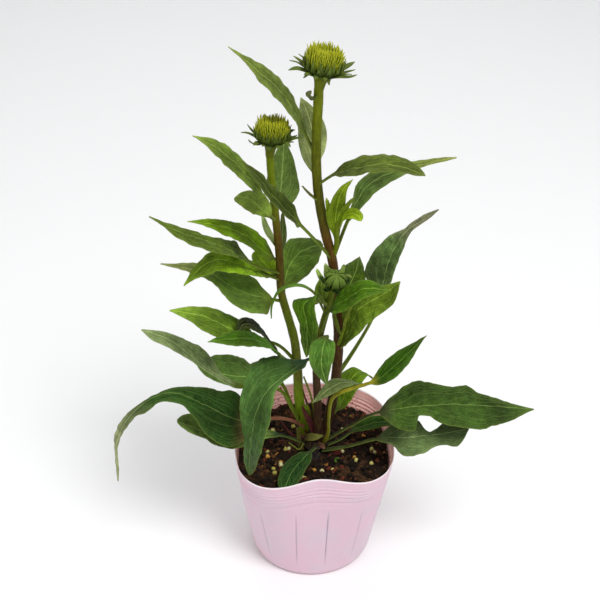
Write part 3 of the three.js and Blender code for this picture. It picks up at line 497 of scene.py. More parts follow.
def make_crown():
    """A knob with three lobes at the top and scales all round."""
    heights = np.linspace(CROWN_ROWS[0][0], CROWN_ROWS[-1][0], 64)
    widths = np.interp(heights, *zip(*CROWN_ROWS))
    rings = []
    for z, width in zip(heights, widths):
        ring = []
        for a in turns(90):
            lobes = 0.08 * math.sin(3 * a + z * 0.25) * max(0, min(1, (z - 72) / 6))
            scaly = 0.06 * abs(math.sin(5.5 * a + 0.4 * z)) + 0.03 * math.sin(21 * a + z)
            rough = 0.08 * noise.noise(Vector((3 * math.cos(a), 3 * math.sin(a), z * 0.5)))
            r = CROWN["radius"] * width * (0.96 + lobes + scaly + rough)
            ring.append((CROWN["x"] + r * math.cos(a), CROWN["y"] + r * math.sin(a), z))
        rings.append(ring)
    return closed_skin(rings)


def graded(z, tints):
    """The colour at each height, from rows of a height and a colour."""
    rows = np.array([paint(*colour) for _, colour in tints])
    heights = [height for height, _ in tints]
    return np.stack([np.interp(z, heights, rows[:, i]) for i in range(4)], 1)


woody = tint_look("woody_crown", 0.8, 2.2, 0.5, 0.6)
crown_points, crown_faces = make_crown()
crown_tint = graded(crown_points[:, 2], [(78, (32, 20, 12)), (87, (54, 36, 24))])
crown = new_piece("crown_base", crown_points, crown_faces, woody, tint=crown_tint)
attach(crown, "root")
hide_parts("crown")

# ---- Stems ------------------------------------------------------------------------------------
# Three stiff, ribbed and bristly stems. Each grows from the crown and carries its leaves, and the
# two taller ones end in a flower head. They are green above, and flushed purple brown lower down.

# Each stem's line, its radii spread evenly along it, and its colours by height.
STEMS = {
    "tall": dict(
        line=[(5, 5, 80), (11, 5, 108), (14, 3, 137), (15, 1, 162), (13, 0, 196), (10.3, 0, 223),
              (5, 1, 246), (1, 2, 271), (-0.2, 2, 296), (0.7, 1, 325), (0.9, 0, 333.2)],
        radii=(3.4, 2.9, 2.7), slot="purple_stem", ribs=11,
        tints=[(80, (56, 30, 24)), (120, (58, 38, 20)), (160, (72, 44, 22)), (200, (82, 50, 24)),
               (240, (86, 58, 14)), (256, (76, 74, 4)), (300, (82, 88, 2)), (334, (106, 116, 4))]),
    "short": dict(
        line=[(-5, 8, 80), (-10, 9, 112), (-11, 9, 136), (-13, 8, 161), (-17, 8, 179),
              (-21, 8, 197), (-22, 8, 224), (-24, 8, 251), (-26, 8, 274), (-26.8, 7, 290.7)],
        radii=(3.6, 2.5, 2.2), slot="green_stem", ribs=10,
        tints=[(80, (92, 44, 36)), (92, (124, 152, 22)), (118, (112, 138, 22)), (135, (98, 96, 34)),
               (175, (94, 112, 12)), (205, (80, 68, 16)), (235, (84, 60, 14)), (258, (88, 98, 4)),
               (291, (112, 130, 8))]),
    "middle": dict(
        line=[(3, -1, 80), (2, -4, 122), (1, -6, 147), (2, -8, 168), (5, -9, 186), (9, -10, 203),
              (11, -11, 214.5)],
        radii=(2.9, 2.4, 1.8), slot="green_stem", ribs=9,
        tints=[(80, (58, 32, 28)), (130, (62, 38, 26)), (160, (72, 56, 22)), (185, (80, 88, 16)),
               (214, (94, 112, 22))]),
}
HAIRS = dict(length=0.75, root=0.06, per_mm=7.0)  # per_mm counts them along a stem


def smooth_line(line, count):
    """Evenly spaced points on the smooth curve through the given ones, its tangents and length."""
    p = np.array(line, float)
    p = np.vstack([2 * p[0] - p[1], p, 2 * p[-1] - p[-2]])
    s = np.linspace(0, 1, 24, endpoint=False)[:, None]
    runs = []
    for a, b, c, d in zip(p, p[1:], p[2:], p[3:]):
        ab, bc, cd = (math.sqrt(np.linalg.norm(v)) for v in (b - a, c - b, d - c))
        start = ((b - a) / ab - (c - a) / (ab + bc) + (c - b) / bc) * bc
        end = ((c - b) / bc - (d - b) / (bc + cd) + (d - c) / cd) * bc
        bend = 3 * (c - b) - 2 * start - end
        runs.append(b + start * s + bend * s**2 + (2 * (b - c) + start + end) * s**3)
    path = np.vstack([*runs, p[-2:-1]])
    far = np.concatenate([[0], np.cumsum(np.linalg.norm(np.diff(path, axis=0), axis=1))])
    even = np.linspace(0, far[-1], count)
    points = np.stack([np.interp(even, far, path[:, i]) for i in range(3)], 1)
    tangents = np.gradient(points, axis=0)
    return points, tangents / np.linalg.norm(tangents, axis=1)[:, None], far[-1]


def sides_of(tangents):
    """Two directions across a stem at each of its tangents."""
    side = np.cross((0.0, 1.0, 0.0), tangents)
    side /= np.linalg.norm(side, axis=1)[:, None]
    return side, np.cross(tangents, side)


def ribbed_stem(line, radii, ribs, spacing=1.1, around=40):
    """A stem's rings, with its radius drawn in between the ribs and knobbly along its length."""
    length = smooth_line(line, 60)[2]
    count = int(length / spacing) + 2
    centres, tangents, _ = smooth_line(line, count)
    side, other = sides_of(tangents)
    shares = np.linspace(0, 1, count)
    widths = np.interp(shares, np.linspace(0, 1, len(radii)), radii)
    rings = []
    for i in range(count):
        ring = []
        for a in turns(around):
            rib = 0.06 * abs(math.sin(ribs * a / 2 + 0.6 * math.sin(3 * shares[i])))
            bump = 0.05 * noise.noise(Vector((math.cos(a), math.sin(a), shares[i] * length / 7)))
            r = widths[i] * (0.96 + rib + bump)
            ring.append(centres[i] + r * (side[i] * math.cos(a) + other[i] * math.sin(a)))
        rings.append(ring)
    return closed_skin(rings)


def stem_hairs(line, radii, draw, count):
    """Short stiff hairs, each a slim three-sided spike that leans a little up the stem."""
    centres, tangents, _ = smooth_line(line, 300)
    side, other = sides_of(tangents)
    hairs = []
    for _ in range(count):
        i = draw.randrange(4, 296)
        a = draw.uniform(0, TURN)
        out = side[i] * math.cos(a) + other[i] * math.sin(a)
        across = np.cross(tangents[i], out)
        foot = centres[i] + out * np.interp(i / 300, np.linspace(0, 1, len(radii)), radii) * 0.95
        lean = tangents[i] * draw.uniform(-0.1, 0.6)
        tip = foot + (out + lean) * HAIRS["length"] * draw.uniform(0.6, 1.3)
        ring = [foot + HAIRS["root"] * (across * math.cos(t) + tangents[i] * math.sin(t))
                for t in turns(3)]
        points = np.array([*ring, tip])
        hairs.append((points, [(0, 1, 3), (1, 2, 3), (2, 0, 3), (2, 1, 0)]))
    return joined(hairs)


def skin_look(name, rough, streak):
    """Ribbed living skin in the points' own tint, streaked along Z and finely pitted."""
    look, shader = new_look(name, Roughness=rough, Specular_IOR_Level=0.15)
    streaks = grain(look, streak, 4, 0.6, stretch=(1, 1, 0.14))
    lines = ramp(look, streaks, 0.45, 0.75, 0, 0.3)
    light = mixed(look, lines, drawn(look, "tint"), paint(112, 116, 30), "SCREEN")
    mottle = ramp(look, grain(look, 3.5, 3), 0.3, 0.6, 0.84, 1.05)
    join(look, shaded_by(look, light, mottle), shader.inputs["Base Color"])
    bumped(look, shader, maths(look, "ADD", streaks, grain(look, 0.5, 2)), 0.12, 0.7)
    return look


stem_skin = skin_look("stem_skin", 0.6, 0.9)
hair_look = tint_look("stem_hair", 0.6, 2.0, 0.02, 0.2)
for name, stem in STEMS.items():
    stem_points, stem_faces = ribbed_stem(stem["line"], stem["radii"], stem["ribs"])
    stem_tint = graded(stem_points[:, 2], stem["tints"])
    piece = new_piece(f"stem_{name}_skin", stem_points, stem_faces, stem_skin, tint=stem_tint)
    tall = stem["line"][-1][2] - stem["line"][0][2]
    count = int(tall * HAIRS["per_mm"])
    hair_points, hair_faces = stem_hairs(stem["line"], stem["radii"], random.Random(count), count)
    hair_tint = graded(hair_points[:, 2], stem["tints"]) * (1.3, 1.3, 1.4, 1)
    hairs = new_piece(f"stem_{name}_hairs", hair_points, hair_faces, hair_look, tint=hair_tint)
    for made in (piece, hairs):
        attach(made, "root")
        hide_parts(f"stem_{name}")


def on_stem(name, height):
    """The point on a stem's line at a height."""
    line = STEMS[name]["line"]
    for a, b in zip(line, line[1:]):
        if b[2] >= height:
            share = (height - a[2]) / (b[2] - a[2])
            return tuple(p + (q - p) * share for p, q in zip(a, b))


# ---- Old stalks and sheaths on the crown ------------------------------------------------------
# What is left of the first leaves: thin stalks and torn, dried sheaths that clasp the foot of the
# stems. They are flat or folded scraps of skin, red, purple or straw coloured, and grow from the
# crown.

# The line of each, its half widths, its half thickness, the degrees it is turned about its line,
# and its colours at the foot and the tip.
SCRAPS = [
    ([(-5, 5, 86), (-12, 7, 100.5), (-15.5, 8, 112), (-20, 9, 124), (-23, 10, 131)], (0.8, 0.5), 0.5, 0,
     (84, 80, 20), (98, 120, 22)),
    ([(-4, 4, 86), (-12.4, 8, 97), (-16, 9, 106), (-19, 10, 112), (-22.5, 11, 121)], (0.8, 0.5), 0.5, 0,
     (96, 42, 34), (112, 70, 36)),
    ([(1, 5, 88), (-0.5, 6, 105), (-2, 7, 116), (-4, 8, 122.4), (-7, 9, 131)], (0.8, 0.6), 0.5, 0,
     (84, 80, 20), (112, 126, 26)),
    ([(0, 5, 88), (-2, 7, 100), (-4, 8, 107), (-6.7, 9, 116), (-9, 9, 125)], (0.9, 0.6), 0.6, 0,
     (88, 40, 36), (96, 58, 34)),
    ([(2, 0, 89), (0, -1, 94), (-3, 0, 101), (-6, 1, 107), (-8, 2, 112)], (2.4, 2.2, 0.6), 0.7, 20,
     (76, 18, 30), (84, 34, 38)),
    ([(-6, -1, 88), (-2, -4.5, 91), (2, -6, 92.5), (6, -5, 93)], (2.2, 2.6, 0.5), 0.4, -50,
     (62, 48, 26), (128, 130, 58)),
    ([(-6, -3, 85), (-2, -7, 85.5), (2, -8, 86), (6, -7, 86)], (2.2, 2.8, 1), 0.5, -30,
     (28, 14, 16), (40, 22, 26)),
    ([(3, -8, 82), (0, -11.5, 80), (-3, -14.5, 78.2)], (3.2, 4.2, 1.5), 0.6, 0,
     (26, 18, 22), (38, 30, 38)),
    ([(3, -5, 86), (5, -7.5, 87), (6.5, -9.5, 85)], (1.4, 1.8, 1), 1.3, 0,
     (84, 58, 36), (112, 72, 62)),
    ([(-6, -1, 88), (-14.7, -1.5, 90.5), (-18.7, -1, 96), (-22, 0, 101)], (1, 0.8, 0.5), 0.6, 0,
     (72, 22, 30), (88, 34, 40)),
    ([(-8, -5, 80), (-9.5, -4, 86), (-10.5, -3, 92), (-11, -2, 97)], (1.8, 1.6, 0.9), 1.1, 0,
     (48, 38, 20), (78, 78, 28)),
    ([(-7, -5, 86), (-10, -9.5, 84.5), (-13.5, -8, 86), (-17, -6, 87.5)], (0.5, 0.5), 0.4, 0,
     (96, 98, 34), (118, 126, 48)),
    ([(-6, 4, 95), (-5.5, 3.5, 103), (-6, 4, 109), (-6.5, 4.5, 111)], (3.4, 3.6, 2.4), 0.5, 0,
     (108, 130, 22), (128, 152, 28)),
]


def eased(x, xs, ys):
    """Values at x on a smooth curve through the points that never overshoots them."""
    xs, ys = np.array(xs, float), np.array(ys, float)
    slope = np.diff(ys) / np.diff(xs)
    both = slope[:-1] * slope[1:]
    total = np.where(both > 0, slope[:-1] + slope[1:], 1)
    inner = np.where(both > 0, 2 * both / total, 0)
    tilt = np.concatenate([slope[:1], inner, slope[-1:]])
    i = np.clip(np.searchsorted(xs, x, side="right") - 1, 0, len(slope) - 1)
    run = xs[i + 1] - xs[i]
    s = np.clip((x - xs[i]) / run, 0, 1)
    rise = (2 * s**3 - 3 * s**2 + 1) * ys[i] + (s**3 - 2 * s**2 + s) * run * tilt[i]
    return rise + (3 * s**2 - 2 * s**3) * ys[i + 1] + (s**3 - s**2) * run * tilt[i + 1]


def scrap(line, half_widths, half_thick, turned):
    """A stalk or scale along a line, and how far along it each of its points is."""
    centres, tangents, _ = smooth_line(line, 20)
    side, other = sides_of(tangents)
    angle = math.radians(turned)
    across = side * math.cos(angle) + other * math.sin(angle)
    through = np.cross(tangents, across)
    shares = np.linspace(0, 1, 20)
    widths = eased(shares, np.linspace(0, 1, len(half_widths)), half_widths)
    rings = []
    for i, width in enumerate(widths):
        ring = []
        for j, a in enumerate(turns(16)):
            uneven = 1 + 0.14 * noise.noise(Vector(centres[i] * 0.5) + Vector((j * 0.4, 0, 0)))
            hollow = 0.5 * min(width, 2) * math.cos(a) ** 2 if width > 1.5 else 0
            flat = half_thick * (1 - 0.4 * shares[i]) * math.sin(a) - hollow
            ring.append(centres[i] + across[i] * width * uneven * math.cos(a) + through[i] * flat)
        rings.append(ring)
    points, faces = closed_skin(rings)
    return points, faces, np.repeat(shares, 16)


def shaded(bodies, low, high, power=1.0):
    """Bodies joined, with their colour running from low at the foot to high at the tip."""
    tint = []
    for _, _, share in bodies:
        share = np.concatenate([share, share[:1], share[-1:]])[:, None] ** power
        tint.append((1 - share) * paint(*low) + share * paint(*high))
    return *joined([body[:2] for body in bodies]), np.vstack(tint)


scraps = [shaded([scrap(*row[:4])], *row[4:]) for row in SCRAPS]
scrap_tint = np.vstack([tint for _, _, tint in scraps])
scrap_piece = new_piece("crown_scraps", *joined([body[:2] for body in scraps]), stem_skin, tint=scrap_tint)
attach(scrap_piece, "root")
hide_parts("crown")

# ---- Leaves of the tall stem ------------------------------------------------------------------
# Rough lance-shaped leaves with three nerves, each on a short channelled petiole. The upper face
# is dull green and the lower one paler, with the nerves standing out.
#
# A leaf's line runs along its petiole and midrib to its tip, from its stem at the height start.
# width is the blade's widest, petiole the length before it, belly where it is widest and taper
# how fast it narrows. roll turns the upper face about the midrib at the base and the tip, and
# fold lifts each half, in degrees. out is the heading that roll is measured from, where that
# isn't the line's own. edges gives a cut blade its left and right half widths along it.
#
# A leaf's points carry three sets of values for its look. veins has the side veins' phase, the
# millimetres in one phase and the distance to the side nerve. skin has the share along the blade,
# the face (1 above, -1 below) and the distance to the midrib. extra has the share out to the
# margin, the half width there, and how far the blade has opened.

BLADE = dict(thick=0.42, rib=0.75, vein=0.2, pucker=0.42, station=0.95, cell=0.75)
PETIOLE = dict(half_width=1.1, thick=1.8, sheath=0.7, tip=0.08)
WAVE = dict(height=1.2, length=9, offset=1.7, cup=0.12, opening=6)
SIDE_NERVE = [(0, 0.02), (0.05, 0.12), (0.15, 0.3), (0.35, 0.52), (0.6, 0.62), (0.85, 0.55), (1, 0.3)]
VEIN_STEP = 0.17  # the side veins' spacing, as a share of the blade's length
# green is each leaf's colour, and tip and foot the colours it turns to at its tip and on its petiole. The
# greens and tips were matched to how bright each leaf looks where it grows, so besides the leaf's own colour
# they hold painted light and shade: leaves in deep shade are painted darker, and lit ones paler.
LEAF_DEFAULTS = dict(belly=0.4, taper=2, fold=12, roll=(0, 0), out=None, edges=None, start=None,
                     foot=(88, 104, 34), tip=None)
LAST_EDGE = (1, 0.4, 0.4)  # a cut blade's narrow end, where its edges don't give another


def rough_line(x, seed, size):
    """Smooth random numbers along x, from -1 to 1."""
    return np.array([noise.noise(Vector((v / size, seed * 3.71, 0.5))) for v in x]) * 1.6


def half_widths(leaf, b, along, seed):
    """The left and right half widths along the leaf, with an uneven, faintly toothed margin."""
    low = np.clip(b, 0, 1)
    sides = []
    for side in (0, 1):
        if leaf["edges"]:
            rows = leaf["edges"]
            rows = rows if rows[-1][0] == 1 else [*rows, LAST_EDGE]
            blade = eased(low, [row[0] for row in rows], [row[1 + side] for row in rows])
        else:
            belly, taper = leaf["belly"], leaf["taper"]
            rise = (low / belly) ** (belly * taper) * ((1 - low) / (1 - belly)) ** ((1 - belly) * taper)
            blade = leaf["width"] / 2 * rise
        uneven = 0.03 * rough_line(along, seed + 9 * side, 7) + 0.012 * rough_line(along, seed + side, 1.6)
        blade = np.where(b > 0, blade, 0) * (1 + uneven)
        sheath = PETIOLE["sheath"] * np.clip(-2 * b - 0.6, 0, 1)
        tip = np.clip((1 - b) / PETIOLE["tip"], 0.12, 1)
        stalk = (PETIOLE["half_width"] + sheath) * tip
        sides.append(np.cbrt(blade**3 + stalk**3))
    return sides


def leaf_axes(leaf, tangents, t):
    """The leaf's left-hand side and the way its upper face looks, along it."""
    first, last = leaf["line"][0], leaf["line"][-1]
    heading = math.atan2(last[1] - first[1], last[0] - first[0])
    if leaf["out"] is not None:
        heading = math.radians(leaf["out"])
    level = np.array((-math.sin(heading), math.cos(heading), 0))
    up = np.cross(tangents, level)
    up /= np.linalg.norm(up, axis=1)[:, None]
    side = np.cross(up, tangents)
    low, high = leaf["roll"]
    turn = np.radians(low + (high - low) * t)[:, None]
    return side * np.cos(turn) - up * np.sin(turn), up * np.cos(turn) + side * np.sin(turn)


def vein_field(b, u, w, blade_length):
    """The side veins' phase, the millimetres in one phase, and the distance to the side nerve."""
    out = np.abs(u)
    side = np.where(u < 0, 0.37, 0)
    phase = (b - 0.4 * out - 0.7 * out**5 - 0.05) / VEIN_STEP + side
    steep = (0.4 + 3.5 * out**4) / (VEIN_STEP * np.maximum(w, 1))
    step = 1 / np.hypot(1 / (VEIN_STEP * blade_length), steep)
    nerve = np.interp(b, *zip(*SIDE_NERVE))
    return phase, step, (out - nerve) * w


def opened(b):
    """0 along the petiole, turning smoothly to 1 where the blade has opened."""
    share = np.clip(b * WAVE["opening"], 0, 1)
    return share**2 * (3 - 2 * share)


def blade_faces(leaf, U, B, W, A, veins, places, seed):
    """How far the upper and the lower face stand off the leaf's own plane at each place."""
    phase, step, nerve = veins
    low, openness, spread = np.clip(B, 0, 1), opened(B), np.abs(U) * W
    fade = openness * np.clip((1 - B) * 4, 0, 1) * min(1, leaf["width"] / 20)
    # The halves fold up from the midrib, and the margin waves.
    ridge = np.sqrt(spread**2 + 0.5) - math.sqrt(0.5)
    fold = ridge * math.tan(math.radians(leaf["fold"])) * openness - WAVE["cup"] * U**2 * W
    wave = WAVE["height"] * fade * U**2 * np.sin(A / WAVE["length"] + np.where(U < 0, WAVE["offset"], 0))
    # The skin puckers up between the side veins.
    own = Vector((seed, 0, 0))
    crinkle = np.array([[noise.noise(Vector(p) * 0.24 + own) for p in row] for row in places])
    pucker = BLADE["pucker"] * fade * (np.sqrt(np.abs(np.sin(math.pi * phase))) + 2.2 * crinkle)
    # Both faces sink in along the side veins, the two side nerves and the midrib.
    strength = fade * np.clip(1.15 - low * 0.8, 0, 1)
    off_vein = np.abs(phase - np.round(phase)) * step
    groove = np.exp(-((off_vein / 0.4) ** 2)) * 0.55 * strength * np.clip(1.3 - np.abs(U), 0, 1)
    groove = np.maximum(groove, np.exp(-((nerve / 0.5) ** 2)) * strength)
    groove = np.maximum(groove, 1.4 * np.exp(-((spread / 0.6) ** 2)) * openness)
    # The petiole is round with a channel on top, and the midrib stands out below.
    round_part = np.sqrt(np.clip(1 - 0.96 * U**2, 0, 1))
    flat_part = np.sqrt(np.clip(1 - 0.9 * np.abs(U) ** 8, 0, 1))
    thick = PETIOLE["thick"] * round_part * (1 - openness) + BLADE["thick"] * flat_part * openness
    channel = (1 - openness) * 0.75 * np.exp(-((U / 0.42) ** 2)) * np.clip(B * 12 + 14, 0, 1)
    keel = BLADE["rib"] * (1 - 0.65 * low) * openness * np.exp(-((spread / 0.75) ** 2))
    middle = fold + wave + pucker
    upper = middle + thick / 2 - channel - BLADE["vein"] * groove
    return upper, middle - thick / 2 - keel - 0.7 * BLADE["vein"] * groove


def leaf_body(spec, seed):
    """One leaf: points, faces, and what its points carry for its look."""
    leaf = {**LEAF_DEFAULTS, **spec}
    if leaf["start"]:
        leaf["line"] = [on_stem(leaf["on"], leaf["start"]), *leaf["line"]]
    length = smooth_line(leaf["line"], 200)[2]
    count = max(26, int(length / BLADE["station"]))
    centre, tangents, _ = smooth_line(leaf["line"], count)
    start = leaf["petiole"] / length
    t = np.linspace(0, 1, count)
    b = (t - start) / (1 - start)
    left_width, right_width = half_widths(leaf, b, length * t, seed)
    left, normal = leaf_axes(leaf, tangents, t)
    # U runs across the leaf from -1 to 1, and B along its blade from 0 to 1.
    cells = 2 * int(np.clip(leaf["width"] / BLADE["cell"] / 2, 4, 19))
    U, B = np.meshgrid(np.linspace(-1, 1, cells + 1), b)
    W = np.where(U < 0, right_width[:, None], left_width[:, None])
    veins = vein_field(np.clip(B, 0, 1), U, W, length - leaf["petiole"])
    places = centre[:, None, :] + left[:, None, :] * (U * W)[..., None]
    A = length * (t - start)[:, None]
    upper, lower = blade_faces(leaf, U, B, W, A, veins, places, seed)
    top = places + normal[:, None, :] * upper[..., None]
    bottom = places + normal[:, None, :] * lower[..., None]
    points, faces = closed_skin(np.concatenate([top, bottom[:, ::-1]], axis=1))

    def around(values, flip=1):
        """Values for the upper and the lower face, and for the two ends."""
        grid = np.concatenate([values, flip * values[:, ::-1]], axis=1).reshape(-1)
        return np.concatenate([grid, grid[:1], grid[-1:]])
    veins = np.stack([around(field) for field in veins], 1)
    skin = np.stack([around(B), around(np.ones_like(B), -1), around(U * W)], 1)
    extra = np.stack([around(np.abs(U)), around(W), around(opened(B))], 1)
    return points, faces, veins, skin, extra


def leaf_tint(points, spec, skin, extra, seed):
    """The leaf's green with its painted light and shade, uneven over the blade, turning to its tip's colour
    and its petiole's.
    """
    leaf = {**LEAF_DEFAULTS, **spec}
    parts = [leaf[part] or leaf["green"] for part in ("green", "foot", "tip")]
    green, foot, tip = (np.array(paint(*part)) for part in parts)
    shade = np.array([noise.noise(Vector(p) * 0.045 + Vector((seed * 1.3, 0, 0))) for p in points])
    far = np.clip((skin[:, :1] - 0.52) / 0.25, 0, 1)
    tint = ((1 - far) * green + far * tip) * (1 + 0.8 * shade[:, None])
    openness = extra[:, 2:]
    tint = tint * openness + foot * (1 - openness)
    tint[:, 3] = 1
    return tint


def most(look, total, *masks):
    """The strongest of several masks."""
    for mask in masks:
        total = maths(look, "MAXIMUM", total, mask)
    return total


NET = 520.0  # cells of the finest veins in a metre


def leaf_look(name, rough):
    """A leaf's skin: pale nerves and a fine net of veins over its tint, a paler lower face, a thin
    pale margin and a few brown flecks."""
    look, shader = new_look(name, Roughness=rough, Specular_IOR_Level=0.06)
    fields = [node(look, "SeparateXYZ", {0: drawn(look, kind, "Vector")}).outputs
              for kind in ("veins", "skin", "extra")]
    (phase, step, nerve), (_, face, middle), (out, _, openness) = fields
    part = maths(look, "FRACT", maths(look, "ADD", phase, 0.5))
    off = maths(look, "MULTIPLY", maths(look, "SUBTRACT", part, 0.5), step)
    side = thin_line(look, off, 0.05, 0.28, 0.42)
    arch = thin_line(look, nerve, 0.06, 0.3, 0.45)
    rib = thin_line(look, middle, 0.14, 0.48, 0.85)
    feeds = {"Vector": node(look, "TexCoord").outputs["Object"], "Scale": NET}
    cells = node(look, "TexVoronoi", feeds, feature="DISTANCE_TO_EDGE").outputs[0]
    net = ramp(look, cells, 0.03, 0.14, 0.12, 0)
    veined = maths(look, "MULTIPLY", most(look, rib, arch, side, net), openness)
    blotch = ramp(look, grain(look, 6, 5, 0.68), 0.3, 0.7, 0.72, 1.26)
    green = shaded_by(look, drawn(look, "tint"), blotch)
    bright = mixed(look, 1.0, green, (2.6, 2.2, 2.8, 1), "MULTIPLY")
    upper = mixed(look, veined, green, mixed(look, 0.22, bright, paint(172, 188, 110)))
    flecks = ramp(look, grain(look, 2.6, 2, 0.4), 0.74, 0.78, 0, 0.6)
    upper = mixed(look, flecks, upper, paint(92, 72, 38))
    dull = mixed(look, 1.0, green, (1.4, 1.25, 1.9, 1), "MULTIPLY")
    pale = mixed(look, 0.05, dull, paint(130, 146, 80))
    lower = mixed(look, veined, pale, mixed(look, 0.2, bright, paint(180, 192, 130)))
    both = mixed(look, ramp(look, face, -0.2, 0.2), lower, upper)
    stalk = maths(look, "SUBTRACT", 1.0, openness)
    stalk_edge = maths(look, "MULTIPLY", ramp(look, out, 0.72, 0.95, 0, 0.6), stalk)
    blade_edge = maths(look, "MULTIPLY", ramp(look, out, 0.95, 0.995, 0, 0.5), openness)
    edge = most(look, stalk_edge, blade_edge)
    join(look, mixed(look, edge, both, paint(118, 136, 54)), shader.inputs["Base Color"])
    fine = maths(look, "ADD", grain(look, 0.7, 2), ramp(look, cells, 0, 0.3))
    bumped(look, shader, fine, 0.22, 0.85)
    return look


leaf_skin = leaf_look("leaf_skin", 0.52)


def grow_leaf(name, spec, seed):
    """Makes a leaf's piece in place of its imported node."""
    points, faces, veins, skin, extra = leaf_body(spec, seed)
    tint = leaf_tint(points, spec, skin, extra, seed)
    leaf = new_piece(f"{name}_blade", points, faces, leaf_skin, tint=tint, veins=veins, skin=skin,
                     extra=extra)
    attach(leaf, "root")
    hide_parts(name)


TALL_LEAVES = {
    1: dict(start=292, width=16, petiole=12, belly=0.35, taper=2.4, roll=(25, 35), green=(91, 109, 42),
        line=[(-9, 8, 308), (-20, 6, 329), (-33, 0, 344), (-47, -8, 360)]),
    2: dict(start=268, width=17, petiole=12, belly=0.5, out=90, roll=(0, 10), green=(107, 120, 69),
        line=[(-2, 16, 283), (-2, 26, 295), (-5, 32, 306), (-9, 33, 315)]),
    3: dict(start=274, width=18, petiole=11, belly=0.52, taper=1.6, fold=16, roll=(-10, -15),
        green=(62, 76, 22),
        line=[(9.3, -6, 284.1), (19.5, -14, 291.5), (32.9, -20, 297), (46, -25, 298), (59, -28, 294.6)]),
    4: dict(start=263, width=3, petiole=4, roll=(20, 20), green=(65, 64, 12),
        line=[(-5, -3, 272), (-8, -5, 277)]),
    5: dict(start=226, width=17, petiole=42, belly=0.32, fold=18, roll=(35, 35), green=(44, 58, 10),
        line=[(-0.3, -12, 245), (-12, -20, 263), (-25, -26, 281), (-33, -30, 295), (-42, -30, 305)]),
    6: dict(start=224, width=14, petiole=26, roll=(-35, -20), green=(69, 93, 37), tip=(92, 104, 44),
        line=[(18.5, 12, 243), (24, 18, 253), (31, 23, 262.5), (42, 27, 268), (56.4, 27, 273),
              (69, 25, 277.6), (83, 22, 282.1)],
        edges=[(0, 1.1, 1.1), (0.13, 2, 5), (0.25, 5.5, 7), (0.38, 6.4, 6.8), (0.5, 6, 6), (0.65, 4, 4),
               (0.8, 2, 2)]),
    7: dict(start=135, width=28, petiole=58, fold=28, roll=(-15, -25), green=(67, 89, 44),
        tip=(106, 110, 80),
        line=[(27, 18, 148), (38, 30, 163), (44, 38, 180), (49, 42, 202), (59, 42, 222), (69, 40, 231),
              (77, 38, 239)],
        edges=[(0, 1.5, 1.5), (0.12, 9, 6), (0.25, 12, 7), (0.4, 10.6, 7), (0.55, 7, 6.4),
               (0.7, 1.8, 3.6), (0.85, 2.4, 1.6)]),
    8: dict(start=192, width=20, petiole=8, roll=(-30, -30), green=(41, 61, 4),
        line=[(20, 16, 193), (26, 36, 194), (30, 54, 196)]),
    9: dict(start=156, width=24, petiole=8, roll=(-40, -40), green=(78, 101, 21),
        line=[(18, -3, 168), (23.5, -2, 182), (27.5, -2, 191), (34.5, -2.5, 197), (42.5, -3, 203),
              (51, -4, 212)],
        edges=[(0, 1.1, 1.1), (0.17, 6.7, 6.7), (0.33, 10.4, 10.4), (0.5, 11.6, 11.9), (0.67, 11, 11),
               (0.83, 4.8, 10), (0.93, 2, 6)]),
    10: dict(start=331, width=4, petiole=3, belly=0.5, green=(60, 68, 31),
        line=[(-3, -4, 329), (-5, -5, 332), (-3, -5, 334)]),
}
for number, spec in TALL_LEAVES.items():
    grow_leaf(f"leaf_tall_{number}", {"on": "tall", **spec}, 100 + number)

# ---- Leaves of the short stem -----------------------------------------------------------------
# The same rough three-nerved leaves, thickest round the middle of this stem. The upper ones are
# short and stand up against it, and the lower ones spread well out to the left.

